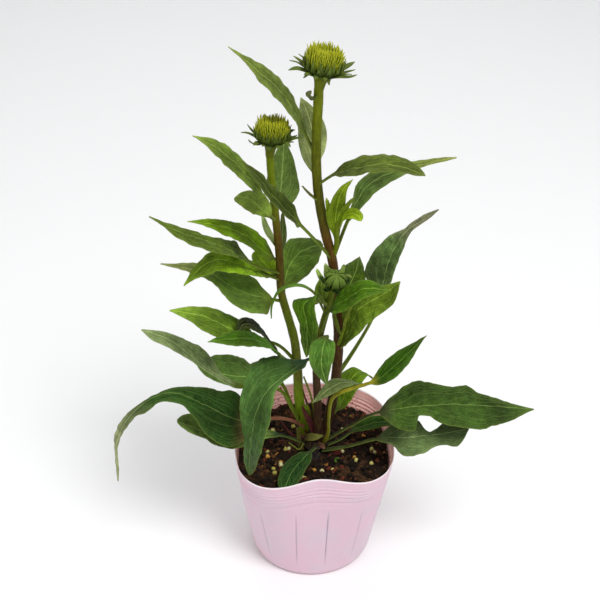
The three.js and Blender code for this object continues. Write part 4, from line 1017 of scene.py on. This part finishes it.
SHORT_LEAVES = {
    1: dict(start=254, width=19, petiole=16, roll=(35, 30), green=(93, 117, 39),
        line=[(-34, -2, 273), (-44, -8, 290), (-55, -12, 303), (-68, -14, 312)]),
    2: dict(start=250, width=20, petiole=6, out=90, green=(87, 111, 48),
        line=[(-21, 17, 262), (-20, 25, 272), (-19, 34, 288)],
        edges=[(0, 2, 3), (0.12, 7, 9), (0.3, 9, 11), (0.5, 8, 9), (0.75, 5.5, 6), (0.9, 3, 3)]),
    3: dict(start=247, width=14, petiole=10, belly=0.6, taper=1.1, roll=(-45, -50), green=(102, 131, 36),
        line=[(-31, -8, 263), (-37, -20, 276), (-44, -31, 284)]),
    4: dict(start=218, width=19, petiole=5, belly=0.3, roll=(25, 10), green=(88, 121, 4),
        line=[(-33.5, 7, 229), (-41.5, 6, 237.5), (-49.5, 4, 243), (-60, 2, 247.5), (-75, -4, 253.5)]),
    5: dict(start=211, width=21, petiole=33, roll=(15, 15), green=(67, 87, 21),
        line=[(-35, -9, 225.5), (-51.5, -21, 244.5), (-68, -27, 255), (-80.5, -29, 261),
              (-93, -30, 270.5)],
        edges=[(0, 1.5, 4), (0.05, 2, 11.5), (0.12, 4, 12), (0.2, 6, 10.5), (0.35, 10, 8), (0.51, 9.8, 6),
               (0.67, 7, 4), (0.84, 4, 2.6)]),
    6: dict(start=206, width=20, petiole=12, roll=(15, 15), green=(103, 138, 19),
        line=[(-34, -3, 218), (-51, -12, 230.5), (-60, -14, 232.5), (-68, -13.5, 227), (-79, -12, 214)],
        edges=[(0, 1.5, 1.5), (0.14, 5.5, 5.5), (0.28, 9, 9), (0.42, 10, 10), (0.55, 9.5, 8.6),
               (0.64, 8.4, 5.6), (0.75, 6, 3.6), (0.87, 3, 2)]),
    7: dict(start=190, width=32, petiole=9, roll=(20, 0), green=(87, 116, 40), tip=(98, 108, 56),
        line=[(-42, -1, 201.5), (-53, -3, 209), (-62, -2, 215), (-76, 1, 217.5), (-94, 4, 220)],
        edges=[(0, 2, 3), (0.07, 12, 8), (0.15, 15, 13), (0.25, 17.5, 15.5), (0.35, 17, 15.5),
               (0.5, 7.5, 13), (0.7, 3.5, 6.5), (0.87, 3, 2.4)]),
    8: dict(start=227, width=5, petiole=4, green=(152, 179, 102),
        line=[(-30, 16, 238), (-33, 20, 249)]),
    9: dict(start=219, width=5, petiole=5, out=90, green=(55, 72, 26),
        line=[(-20, 18, 232), (-20, 24, 245)]),
    10: dict(start=206, width=14, petiole=4, belly=0.55, taper=1.4, green=(97, 128, 6),
        line=[(-29.5, 14, 212), (-34, 20, 214), (-37, 25, 217)]),
    11: dict(start=193, width=25, petiole=6, out=80, roll=(-10, -10), green=(69, 95, 28),
        line=[(-19, 13, 200.5), (-17.5, 20, 204.5), (-14.5, 26, 208), (-10.5, 31, 211), (-4, 36, 212.3),
              (5, 41, 212.8)],
        edges=[(0, 2, 2), (0.17, 6, 11), (0.33, 6.5, 13), (0.5, 9, 13.7), (0.67, 11.4, 14),
               (0.84, 9, 9.9), (0.95, 6.5, 4), (1, 3, 1)]),
    12: dict(start=143, width=24, petiole=40, roll=(40, 30), green=(94, 124, 32),
        line=[(-24, 0, 163), (-37.5, -6, 170.5), (-48.5, -12, 180.5), (-67, -20, 197), (-87, -22, 203)],
        edges=[(0, 1.1, 1.1), (0.17, 5, 8), (0.33, 8.5, 9.7), (0.5, 11, 9), (0.67, 9.6, 6.6),
               (0.83, 4.8, 4)]),
    13: dict(start=138, width=19, petiole=38, roll=(15, 10), green=(53, 91, 4),
        line=[(-22, -14, 165), (-35, -26, 184), (-50, -34, 190.5), (-64, -36, 190)]),
    # Its green is nearly black, painted shade for the shade this leaf hangs in.
    14: dict(start=133, width=16, petiole=26, roll=(30, 20), green=(7, 15, 2),
        line=[(-27, -8.6, 166.4), (-33, -9.5, 178), (-39, -13, 186), (-43.5, -17, 189.5),
              (-47, -19, 184.5)],
        edges=[(0, 1.3, 1.3), (0.2, 2, 5), (0.4, 3.5, 9.5), (0.6, 4, 9), (0.8, 3.5, 5.2), (0.93, 2, 3.5),
               (1, 0.5, 0.5)]),
}
for number, spec in SHORT_LEAVES.items():
    grow_leaf(f"leaf_short_{number}", {"on": "short", **spec}, 200 + number)

# ---- Leaves of the middle stem ----------------------------------------------------------------
# The side stem's leaves are small and young. Two hang down in front, and the last one grows from
# the tall stem's foot and lies across this stem.

MIDDLE_LEAVES = {
    1: dict(start=178, width=18, petiole=26, roll=(-30, -30), green=(53, 87, 4),
        line=[(8.5, -19, 201), (18, -26.5, 213.5), (28.5, -31, 223.5), (43, -35, 225)]),
    2: dict(start=198, width=19, petiole=8, out=-110, roll=(-45, 0), green=(53, 85, 4),
        line=[(-1, -17, 209), (-7, -25, 208), (-5, -31, 197.5), (-5.5, -33, 176.5)],
        edges=[(0, 2, 3), (0.1, 3, 9), (0.2, 6, 14), (0.3, 9, 10.5), (0.42, 9.7, 7.2), (0.6, 8, 6),
               (0.8, 4.6, 3.9)]),
    3: dict(start=173, width=15, petiole=30, green=(52, 84, 23),
        line=[(7, -26, 187), (4, -44, 191), (3, -50, 183.5), (6.5, -54, 171)]),
    4: dict(start=192, width=4, petiole=20, green=(62, 102, 12),
        line=[(-1, -10, 208), (-11, -18, 218), (-21, -20, 216), (-26, -20, 206), (-27, -19, 195)]),
    5: dict(start=194, width=9, petiole=5, out=90, green=(122, 153, 50),
        line=[(4.5, -6, 203), (3.5, -5.5, 210), (4, -5, 217)]),
    6: dict(on="tall", start=122, width=13, petiole=18, green=(81, 96, 51),
        line=[(20, 1, 127), (27, -4, 133), (27, -12, 141), (14, -18, 145), (-2, -23, 134)]),
}
for number, spec in MIDDLE_LEAVES.items():
    grow_leaf(f"leaf_middle_{number}", {"on": "middle", **spec}, 300 + number)

# ---- Leaves round the base --------------------------------------------------------------------
# The oldest leaves, broad and long-stalked, most of them from the crown. They arch out over the
# rim, are dark and dull, and are curled, creased and torn at the margin.

BASE_LEAVES = {
    1: dict(on="middle", start=156, width=24, petiole=14, roll=(10, 0), green=(59, 90, 37),
        foot=(44, 66, 46),
        line=[(-4, -14, 161.5), (-10.5, -24, 163.5), (-17.5, -32, 163), (-26, -38, 159),
              (-32, -41.5, 152), (-36, -43, 141.5), (-40, -41, 114), (-42.5, -35, 84.5)],
        edges=[(0, 1.1, 1.1), (0.06, 3.5, 7.5), (0.13, 4, 16), (0.2, 3.5, 20.5), (0.28, 4.5, 21.5),
               (0.36, 9.5, 18), (0.45, 13.5, 15), (0.55, 14.3, 12.2), (0.65, 13.5, 10.2),
               (0.75, 10.6, 8.3), (0.85, 7.3, 6.8), (0.94, 4, 4.5)]),
    2: dict(width=38, petiole=34, roll=(50, 20), green=(32, 60, 17), tip=(112, 120, 82),
        foot=(140, 88, 70),
        line=[(-6.5, 2, 94.5), (-13.5, -3, 103.3), (-20, -6.5, 108.3), (-28, -11, 112), (-48, -18, 116),
              (-69, -24, 133), (-89, -28, 146), (-107, -32, 140), (-123, -34, 117), (-128, -32, 77)],
        edges=[(0, 1.5, 1.5), (0.08, 10, 10), (0.165, 20, 17.6), (0.25, 19, 13), (0.33, 11, 9.6),
               (0.38, 8.3, 6.4), (0.43, 7.4, 3.6), (0.5, 5, 1.6), (0.57, 6, 1.6), (0.63, 2.6, 2.2),
               (0.74, 2.6, 3), (0.87, 2.6, 2.6)]),
    3: dict(width=26, petiole=24, roll=(10, 10), green=(81, 106, 41), foot=(46, 62, 36),
        line=[(-4.5, -2.5, 83), (-16, -6, 92), (-24, -9, 97), (-50, -16, 102), (-70, -22, 110),
              (-87, -26, 122)],
        edges=[(0, 1.5, 1.5), (0.15, 5, 5), (0.3, 9, 9), (0.45, 12, 12), (0.6, 11.2, 13),
               (0.75, 7.2, 12.5), (0.88, 7, 9.5), (0.96, 5, 5.5), (1, 2, 1.5)]),
    4: dict(width=15, petiole=54, fold=20, roll=(35, 35), green=(112, 131, 81), foot=(104, 124, 36),
        line=[(-10, 4, 98.5), (-15.5, 4, 111), (-21, 3, 123), (-29, 0.5, 129), (-38, -1.5, 131),
              (-50, -4, 134), (-69, -8, 150.5), (-90, -10, 173), (-107, -10, 181)],
        edges=[(0, 1.3, 1.3), (0.12, 3, 1.3), (0.25, 2.8, 3.1), (0.38, 2.2, 8), (0.5, 2.2, 8.5),
               (0.62, 4, 6.4), (0.75, 6, 4), (0.88, 5.6, 2.6)]),
    5: dict(width=26, petiole=44, roll=(25, 35), green=(84, 115, 48), foot=(106, 126, 36),
        line=[(1, 13.5, 84), (-9.5, 15.5, 88), (-15, 15.5, 101.5), (-20.5, 18, 116.5), (-28.5, 21, 122.5),
              (-38.5, 26, 121), (-46, 31, 114.5), (-62, 38, 111.5), (-70, 40, 113.5), (-80, 42, 117)],
        edges=[(0, 1.1, 1.1), (0.15, 5, 5), (0.3, 8, 8.5), (0.43, 8.5, 9.5), (0.57, 7.2, 13.5),
               (0.71, 6.7, 14.2), (0.86, 6, 10.8), (0.95, 3.5, 5), (1, 1, 1)]),
    6: dict(width=14, petiole=86, roll=(-40, -40), green=(35, 68, 3), foot=(138, 132, 36),
        line=[(5, -2, 82), (9, -9, 98), (9, -15, 116), (12, -20, 137), (25, -24, 147), (39, -26, 155),
              (52, -28, 171), (66, -28, 189)]),
    7: dict(width=18, petiole=20, green=(68, 95, 2), foot=(72, 84, 30),
        line=[(3, 9, 83), (10, 14, 92), (19, 21, 100), (23, 28, 109), (31, 38, 113), (43, 46, 101)]),
    8: dict(width=40, petiole=52, roll=(-15, -15), green=(51, 76, 23), foot=(66, 72, 40),
        line=[(6, -1, 84), (15, -3, 93), (24, -6, 102), (39, -12, 117), (57, -18, 126), (85, -22, 132),
              (113, -24, 132), (138, -24, 130)],
        edges=[(0, 2, 2), (0.04, 9, 6), (0.1, 12, 12), (0.17, 16, 18), (0.22, 18, 20), (0.25, 19, 19),
               (0.27, 19.3, 7), (0.33, 18, 8.5), (0.4, 16, 14.5), (0.48, 14, 18.5), (0.56, 14.5, 20.5),
               (0.64, 9, 20), (0.73, 6, 16), (0.83, 3.8, 11), (0.93, 1.6, 4.5)]),
    9: dict(width=30, petiole=42, roll=(-15, -15), green=(78, 97, 54), foot=(62, 70, 36),
        line=[(5, -7, 82), (14, -10.5, 86.5), (24, -13, 91), (41, -18, 101), (62, -24, 107),
              (81, -28, 113), (97, -30, 119)],
        edges=[(0, 1.5, 1.5), (0.1, 8, 4.5), (0.2, 13, 7), (0.28, 14, 12.5), (0.34, 14, 15),
               (0.45, 12, 14.3), (0.52, 6, 13.5), (0.58, 3.5, 11.5), (0.66, 6, 9.5), (0.75, 10, 10),
               (0.86, 10, 14), (0.94, 7, 8.5), (1, 0.5, 0.5)]),
    10: dict(width=12, petiole=20, green=(27, 60, 3), foot=(52, 60, 34),
        line=[(6, -2, 81), (17, -1, 86), (28, 4, 91), (44, 4, 97), (62, 4, 96)]),
    11: dict(width=16, petiole=12, belly=0.62, taper=1, green=(22, 54, 16), foot=(56, 66, 40),
        line=[(3.5, -4, 84), (-1.5, -12, 86.2), (-7.5, -22, 87), (-13.5, -32, 86.5), (-17.5, -40, 83.5),
              (-19.5, -44.5, 79.8)]),
}
for number, spec in BASE_LEAVES.items():
    grow_leaf(f"leaf_base_{number}", {"on": "crown", **spec}, 400 + number)

# ---- Flower heads -----------------------------------------------------------------------------
# Two heads not yet in flower. Each is a ribbed neck that flares into a shallow cup of pointed
# green bracts. They spread and curl round a cone of stiff yellow-green spikes, hollow on top.

HEADS = {
    "tall": dict(foot=(0.9, 0, 332.5), lean=(0.16, 0), size=1, seed=5, spikes=235),
    "short": dict(foot=(-26.8, 7, 290), lean=(0.11, 0), size=0.93, seed=11, spikes=220),
}
# BRACTS gives each spreading bract the way it points in degrees, its reach from the axis, the
# height of its tip, its width, and how far its middle rises above the straight line to the tip.
# NECK and CONE are rows of a radius and a height.
BRACTS = {
    "tall": [(-5, 19, 12.6, 2.5, -0.6), (13, 18.6, 13.2, 1.7, 0.3), (26, 19.4, 16, 3, 0.4),
             (44, 15.5, 16.8, 3.2, -1.4), (64, 17, 13, 2.6, 0.6), (84, 16, 12, 2.4, 1),
             (103, 17, 13, 2.6, 0), (122, 18, 17, 1.7, -1.6), (137, 18.5, 13.9, 1.8, 1),
             (151, 18.6, 13.6, 3.2, 1.2), (166, 18.8, 12.4, 2.2, 1.2), (185, 18.4, 9.2, 2.7, 2.4),
             (203, 10.6, 7, 1.8, 0.8), (226, 14.5, 11.4, 2.6, 1.2), (249, 11.5, 9.6, 2.8, 1.6),
             (277, 12.5, 10.6, 2.8, 1.4), (298, 9.4, 6.8, 2.5, 1.8), (322, 15.5, 12.6, 3, 0.8),
             (341, 16.5, 13.6, 2.2, 0.6)],
    "short": [(-6, 19, 15, 3.3, 1.6), (12, 16, 14, 2.4, 0.6), (28, 16, 15.6, 2.2, 1.8),
              (52, 16.5, 12, 2.6, 0.8), (80, 17, 13, 2.4, 0.6), (106, 16, 12, 2.6, 1),
              (130, 16.5, 14, 2, 0.4), (150, 18, 15.4, 1.9, -0.4), (171, 19.2, 12, 2.5, 1.8),
              (196, 14.6, 11.2, 2.3, -1.8), (218, 13.5, 9.6, 2.6, 1.4), (243, 11.5, 10.4, 2.8, 1.2),
              (265, 9.6, 7.6, 2.8, 1.8), (290, 13, 11.2, 2.8, 1.2), (318, 15.8, 11.8, 2.6, 2.8),
              (336, 15, 13.4, 2.4, 1)],
}
BRACT_ROOTS = ((7, 10), (5.6, 8.9))  # where they grow from the neck, in turn
BRACT_ARCH = ((0.3, 0.75), (0.62, 1), (0.84, 0.6), (1, 0))  # shares of the reach and of the rise
BRACT_SHAPE = (0.62, 0.92, 1, 0.92, 0.66, 0.1)  # shares of the width, from root to tip
# The rows that stand up against the cone: how many, the height of the tips, their reach and width.
HUGGING = [(13, 16, 11.6, 3.6), (15, 18, 11.4, 3.2), (17, 19.6, 11, 2.6)]
HUGGING_SHAPE = (0.8, 1, 0.8, 0.42, 0.06)
SPIKE_ROWS = ((0, 0.58), (0.3, 0.56), (0.6, 0.4), (0.85, 0.22), (1, 0.05))  # shares and half widths
GOLDEN = 2.39996  # the golden angle, in radians
NECK = [(2.5, -0.6), (2.75, 1.2), (3, 3), (3.5, 5.2), (4.3, 7), (6.1, 9.2), (8.2, 10.6), (8.9, 11.6),
        (8.5, 12.6)]
CONE = [(8.5, 12), (8.9, 14), (9, 16.2), (8.7, 18.6), (7.9, 20.6), (6.6, 21.6), (5, 21.4), (3.2, 20.4),
        (1, 19.8)]


def seated(points, foot, lean, size):
    """Points from the flower's own axes, set on its foot along its lean."""
    up = Vector((lean[0], lean[1], 1)).normalized()
    turn = np.array(Vector((0, 0, 1)).rotation_difference(up).to_matrix())
    return np.asarray(points) @ turn.T * size + np.array(foot)


def lathed(profile, around, spacing, relief):
    """A round closed body from rows of a radius and a height. relief(a, share) scales its radius."""
    rows = np.array(profile, float)
    far = np.concatenate([[0], np.cumsum(np.hypot(*np.diff(rows, axis=0).T))])
    at = np.linspace(0, far[-1], int(far[-1] / spacing) + 2)
    radii, heights = eased(at, far, rows[:, 0]), eased(at, far, rows[:, 1])
    rings = []
    for r, z, share in zip(radii, heights, at / far[-1]):
        ring = []
        for a in turns(around):
            out = r * relief(a, share)
            ring.append((out * math.cos(a), out * math.sin(a), z))
        rings.append(ring)
    return closed_skin(rings)


def lance(line, width, thick, turn, shares, twist=0.0, steps=14):
    """A pointed scale in the XZ plane, turned about Z. shares gives its width along it, and it is
    hollow above, keeled below and twists towards its tip."""
    centre, tangents, _ = smooth_line([(r, 0, z) for r, z in line], steps)
    t = np.linspace(0, 1, steps)
    widths = eased(t, np.linspace(0, 1, len(shares)), shares) * width / 2
    u = np.linspace(-1, 1, 7)
    rings = []
    for i in range(steps):
        up = np.array((-tangents[i][2], 0, tangents[i][0]))
        side = np.array((0, 1.0, 0)) * math.cos(twist * t[i]) + up * math.sin(twist * t[i])
        lift = np.cross(tangents[i], side) * -1
        hollow = 0.35 * widths[i] * u**2
        half = thick / 2 * np.sqrt(1 - 0.9 * u**4) * (1 - 0.55 * t[i])
        keel = 0.35 * thick * np.exp(-((u / 0.25) ** 2))
        top = [centre[i] + side * a * widths[i] + lift * (h + e) for a, h, e in zip(u, hollow, half)]
        low = [centre[i] + side * a * widths[i] + lift * (h - e - k)
               for a, h, e, k in zip(u, hollow, half, keel)]
        rings.append(top + low[::-1])
    points, faces = closed_skin(rings)
    c, s = math.cos(turn), math.sin(turn)
    return points @ np.array(((c, s, 0), (-s, c, 0), (0, 0, 1))), faces, np.repeat(t, 14)


def spike(foot, way, length, bend):
    """A stiff tapering spike from a foot, and how far along it each point is."""
    way = np.array(way) / np.linalg.norm(way)
    across = np.cross(way, (0.3, 0.9, 0.1))
    across /= np.linalg.norm(across)
    other = np.cross(way, across)
    rings = []
    for share, width in SPIKE_ROWS:
        centre = np.array(foot) + way * length * share + across * bend * share**2
        rings.append([centre + width * (across * math.cos(a) + 0.75 * other * math.sin(a))
                      for a in turns(6)])
    points, faces = closed_skin(rings)
    return points, faces, np.repeat([share for share, _ in SPIKE_ROWS], 6)


def head_bracts(name, draw):
    """The spreading bracts, then rows of short ones that stand up against the cone."""
    bodies = []
    for number, (turn, reach, top, width, arch) in enumerate(BRACTS[name]):
        root = BRACT_ROOTS[number % 2]
        line = [root]
        for share, rise in BRACT_ARCH:
            height = root[1] + (top - root[1]) * share + arch * rise
            line.append((root[0] + (reach - root[0]) * share, height))
        twist = draw.uniform(-0.7, 0.7)
        bodies.append(lance(line, 1.35 * width, 0.5, math.radians(turn), BRACT_SHAPE, twist, 20))
    for count, top, reach, width in HUGGING:
        for i in range(count):
            turn = TURN * (i + draw.uniform(-0.25, 0.25)) / count + top
            tip = (reach + draw.uniform(-0.5, 0.9), top + draw.uniform(-1, 0.8))
            line = [(8.4, 11), (2.9 + 0.65 * reach, 13.2), (reach - 0.2, 5.4 + 0.55 * top), tip]
            wide = width * draw.uniform(0.9, 1.15)
            bodies.append(lance(line, wide, 0.45, turn, HUGGING_SHAPE))
    return bodies


def head_spikes(head, draw):
    """Spikes spread evenly over the cone by the golden angle, longest low down and ripest on top."""
    rows = np.array(CONE, float)
    steps = np.hypot(*np.diff(rows, axis=0).T)
    areas = np.concatenate([[0], np.cumsum(steps * (rows[1:, 0] + rows[:-1, 0]) / 2)])
    bodies = []
    for k in range(head["spikes"]):
        area = areas[-1] * (k + 0.5) / head["spikes"]
        r, z = np.interp(area, areas, rows[:, 0]), np.interp(area, areas, rows[:, 1])
        a = GOLDEN * k
        share = k / head["spikes"]
        lean = 0.36 - 0.5 * share + draw.uniform(-0.14, 0.14)
        length = (7 - 4.4 * share**2.5) * draw.uniform(0.75, 1.2)
        way = (lean * math.cos(a), lean * math.sin(a), 1)
        foot = (r * math.cos(a), r * math.sin(a), z - 0.8)
        points, faces, along = spike(foot, way, length, draw.uniform(-0.6, 0.6))
        ripe = 0.7 * share
        bodies.append((points, faces, ripe + (1 - ripe) * along * draw.uniform(0.6, 1)))
    return bodies


bract_skin = skin_look("bract_skin", 0.6, 0.6)
spike_skin = tint_look("spike_skin", 0.5, 0.8, 0.05, 0.3)
for name, head in HEADS.items():
    draw = random.Random(head["seed"])
    at = (head["foot"], head["lean"], head["size"])
    # The neck turns from yellow green to darker green as it flares.
    neck = lathed(NECK, 72, 0.35, lambda a, share: 0.97 + 0.05 * abs(math.sin(6.5 * a)))
    neck = (*neck, np.clip((neck[0][:-2, 2] - 2) / 10, 0, 1))
    points, faces, tint = shaded([neck], (104, 112, 14), (72, 84, 12))
    neck_piece = new_piece(f"head_{name}_neck", seated(points, *at), faces, bract_skin, tint=tint)
    points, faces, tint = shaded(head_bracts(name, draw), (44, 60, 10), (92, 108, 40), 1.2)
    bracts = new_piece(f"head_{name}_scales", seated(points, *at), faces, bract_skin, tint=tint)
    for piece in (neck_piece, bracts):
        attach(piece, "root")
        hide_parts(f"head_{name}_bracts")
    # The core shows between the spikes. Its wall is painted dark green, painted shade for the deep gaps
    # between them, and it is palest in the hollow on top.
    core = lathed([(8.2, 11.8), *CONE], 64, 0.5, lambda a, share: 0.97 + 0.03 * math.sin(24 * a))
    out = np.hypot(*core[0][:-2, :2].T)
    core = (*core, np.clip((core[0][:-2, 2] - 18) / 2, 0, 1) * np.clip((7 - out) / 2, 0, 1))
    points, faces, tint = shaded([core], (66, 88, 4), (146, 158, 54))
    middle = new_piece(f"head_{name}_core", seated(points, *at), faces, spike_skin, tint=tint)
    points, faces, tint = shaded(head_spikes(head, draw), (72, 102, 2), (194, 194, 40), 1.35)
    cone = new_piece(f"head_{name}_spikes", seated(points, *at), faces, spike_skin, tint=tint)
    for piece in (middle, cone):
        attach(piece, "root")
        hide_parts(f"head_{name}_florets")

# ---- Side bud ---------------------------------------------------------------------------------
# A closed young head on the middle stem: a ball of folded scales with pale ridges that close over
# its top, loose scales under it, and four small leaves.

BUD_SEAT = ((11.1, -11.1, 213.8), (0.12, -0.4), 1)  # its foot, its lean and its size
BUD_PROFILE = [(1.6, -0.5), (2.6, 1.6), (4.9, 3.6), (5.5, 6), (4.6, 8.4), (2.4, 9.6), (0.7, 8.8)]
# Rings of scales: how many, the line of one from its root to its tip, its width and thickness, and
# the share of a step round that the ring starts at.
OVER_SCALES = dict(count=8, width=4.6, thick=0.6, start=0,
                   line=[(2.6, 0.8), (5.4, 3.2), (6, 6), (4.8, 9), (1.8, 11)])
SCALE_RIDGES = dict(count=8, width=0.6, thick=0.45, start=0,
                    line=[(3.4, 1.6), (5.7, 3.6), (6.25, 6), (5.1, 9), (2.4, 11)])
LOOSE_SCALES = [dict(count=7, width=3.4, thick=0.45, start=0.3,
                     line=[(1.8, 0.6), (4.8, 1.2), (7.2, 3), (8.3, 6.2)]),
                dict(count=5, width=3.2, thick=0.45, start=0.1,
                     line=[(1.8, 0.2), (5, 0), (8, 1.4), (9.6, 3.6)])]
SCALE_SHAPE = (0.7, 1, 0.95, 0.7, 0.16)  # shares of the width, from root to tip
BUD_SEED = 8
BUD_LEAVES = [
    dict(width=6, petiole=3, out=90, green=(92, 116, 48),
         line=[(11, -11, 211), (8.8, -8.8, 217), (7, -8.2, 222), (5.5, -8, 227)]),
    dict(width=3.2, petiole=3, out=90, green=(92, 116, 48),
         line=[(11, -11, 211), (5, -9, 215), (2.5, -8, 218.5), (0.5, -7.5, 223)]),
    dict(width=3.5, petiole=3, out=90, green=(86, 108, 42),
         line=[(11, -11, 211), (14.5, -7.5, 218), (16.3, -6, 222.5), (17, -5.5, 225)]),
    dict(width=3, petiole=3, green=(86, 108, 42),
         line=[(11, -11, 211), (15.5, -13.5, 219), (18.5, -14.5, 223), (21.5, -15.5, 222)]),
]


def leaf_cluster(name, specs, seed, parent):
    """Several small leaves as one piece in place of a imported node."""
    bodies, tints, fields = [], [], []
    for i, spec in enumerate(specs):
        points, faces, *marks = leaf_body(spec, seed + i)
        bodies.append((points, faces))
        tints.append(leaf_tint(points, {**spec, "foot": spec["green"]}, marks[1], marks[2], seed + i))
        fields.append(marks)
    veins, skin, extra = (np.vstack(group) for group in zip(*fields))
    piece = new_piece(name, *joined(bodies), leaf_skin, tint=np.vstack(tints), veins=veins, skin=skin,
                      extra=extra)
    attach(piece, "root")
    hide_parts(parent)


def bud_scales(draw, count, width, thick, start, line):
    """A ring of pointed scales round the bud."""
    bodies = []
    for i in range(count):
        turn = TURN * (i + start + draw.uniform(-0.12, 0.12)) / count
        curl = draw.uniform(-0.3, 0.3)
        shape = [(r + curl * r / 9, z + curl) for r, z in line]
        bodies.append(lance(shape, width * draw.uniform(0.9, 1.1), thick, turn, SCALE_SHAPE))
    return bodies


draw = random.Random(BUD_SEED)
ball = lathed(BUD_PROFILE, 72, 0.3, lambda a, share: 0.95)
ball = (*ball, np.clip(ball[0][:-2, 2] / 10, 0, 1))
over = bud_scales(draw, **OVER_SCALES)
# The ridges draw the same numbers as the scales they lie on.
ridges = bud_scales(random.Random(BUD_SEED), **SCALE_RIDGES)
loose = [scale for ring in LOOSE_SCALES for scale in bud_scales(draw, **ring)]
points, faces, tint = shaded([ball, *over], (66, 88, 26), (98, 122, 46))
closed = new_piece("bud_ball", seated(points, *BUD_SEAT), faces, bract_skin, tint=tint)
points, faces, tint = shaded(ridges, (76, 98, 34), (108, 130, 54))
ridge = new_piece("bud_ridges", seated(points, *BUD_SEAT), faces, bract_skin, tint=tint)
points, faces, tint = shaded(loose, (62, 88, 32), (48, 76, 34))
scales = new_piece("bud_scales", seated(points, *BUD_SEAT), faces, bract_skin, tint=tint)
for piece in (closed, ridge, scales):
    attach(piece, "root")
    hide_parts("bud")
leaf_cluster("bud_leaves", BUD_LEAVES, 500, "bud")

# ---- Side shoots ------------------------------------------------------------------------------
# Two short leafy shoots on the tall stem, from the joints of older leaves. Their stems are slim
# and green, with narrow pale leaves that have not opened yet.

SHOOTS = {
    "upper": dict(
        line=[(10.5, 0, 226), (12, -1, 234), (12.5, -2, 244), (13, -2, 252)],
        radii=(1.2, 1.5, 1.9),
        leaves=[
            dict(width=10, petiole=3, out=90, green=(102, 128, 8),
                 line=[(12, -1.5, 240), (11.3, -3, 254), (12.5, -5, 266), (15.5, -7, 276), (20.5, -8, 282)]),
            dict(width=5, petiole=3, out=90, green=(98, 124, 8),
                 line=[(12, -1.5, 240), (9.8, -2, 249), (7.5, -3, 260), (5.8, -3, 268)]),
            dict(width=4.5, petiole=2, out=90, green=(96, 120, 6),
                 line=[(13, -2, 248), (15, -4, 258), (18, -6, 265), (21.4, -7, 270)]),
            dict(width=7, petiole=5, belly=0.55, taper=1.1, roll=(-40, -40), green=(104, 130, 10),
                 line=[(13, -2, 247), (16, -6, 256.5), (20, -9, 261), (24, -12, 261), (26, -13.5, 258.5)]),
        ]),
    "lower": dict(
        line=[(14, 1, 160), (16, -4, 170), (18, -6, 180)],
        radii=(1.2, 1),
        leaves=[
            dict(width=4, petiole=3, green=(62, 76, 2),
                 line=[(17, -5, 176), (20, -9, 192), (24, -11, 206), (26, -12, 210)]),
            dict(width=5, petiole=3, green=(62, 76, 2),
                 line=[(16, -5, 174), (12, -8, 186), (11, -9, 196)]),
        ]),
}
for index, (name, shoot) in enumerate(SHOOTS.items()):
    shoot_points, shoot_faces = ribbed_stem(shoot["line"], shoot["radii"], 7, 0.8, 28)
    shoot_tint = np.zeros((len(shoot_points), 4)) + paint(100, 116, 16)
    piece = new_piece(f"shoot_{name}_stem", shoot_points, shoot_faces, stem_skin, tint=shoot_tint)
    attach(piece, "root")
    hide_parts(f"shoot_{name}")
    leaf_cluster(f"shoot_{name}_leaves", shoot["leaves"], 600 + 10 * index, f"shoot_{name}")

# ---- Table, backdrop, lights and camera -------------------------------------------------------
# A white table and a pale wall behind it, in soft daylight from above and the right.

table_look, _ = new_look("white_table", Base_Color=paint(240, 240, 240), Roughness=0.6)
bpy.ops.mesh.primitive_plane_add(size=6, location=(0, 0, 0))
floor = bpy.context.object
floor.name = "table_top"
floor.data.materials.append(table_look)
wall_look, _ = new_look("pale_wall", Base_Color=paint(234, 234, 235), Roughness=0.8)
bpy.ops.mesh.primitive_plane_add(size=6, location=(0, 1.4, 0), rotation=(math.radians(90), 0, 0))
wall = bpy.context.object
wall.name = "wall"
wall.data.materials.append(wall_look)


def soft_lamp(name, place, size, power):
    """A round lamp at a place, turned to the middle of the plant."""
    lamp = bpy.data.lights.new(name, "AREA")
    lamp.shape = "DISK"
    lamp.size = size
    lamp.energy = power
    holder = bpy.data.objects.new(name, lamp)
    holder.location = place
    holder.rotation_euler = (Vector((0, 0, 0.18)) - Vector(place)).to_track_quat("-Z", "Y").to_euler()
    bpy.context.scene.collection.objects.link(holder)


soft_lamp("key_lamp", (0.55, -0.75, 1.6), 0.8, 22)
soft_lamp("fill_lamp", (-1.2, -0.8, 1.0), 1.2, 5)
soft_lamp("back_lamp", (-0.2, 0.9, 1.6), 1.4, 5)
world = bpy.data.worlds.new("soft_sky")
world.use_nodes = True
world.node_tree.nodes["Background"].inputs["Color"].default_value = (0.98, 0.99, 1.0, 1)
world.node_tree.nodes["Background"].inputs["Strength"].default_value = 0.5
bpy.context.scene.world = world

camera_data = bpy.data.cameras.new("camera")
camera_data.lens = 64.5
camera_data.sensor_width = 36
camera = bpy.data.objects.new("camera", camera_data)
camera.location = (-0.0094, -0.5583, 0.5519)
camera.rotation_euler = (math.radians(57.5), 0, 0)
bpy.context.scene.collection.objects.link(camera)
bpy.context.scene.camera = camera
bpy.context.scene.view_settings.view_transform = "Standard"
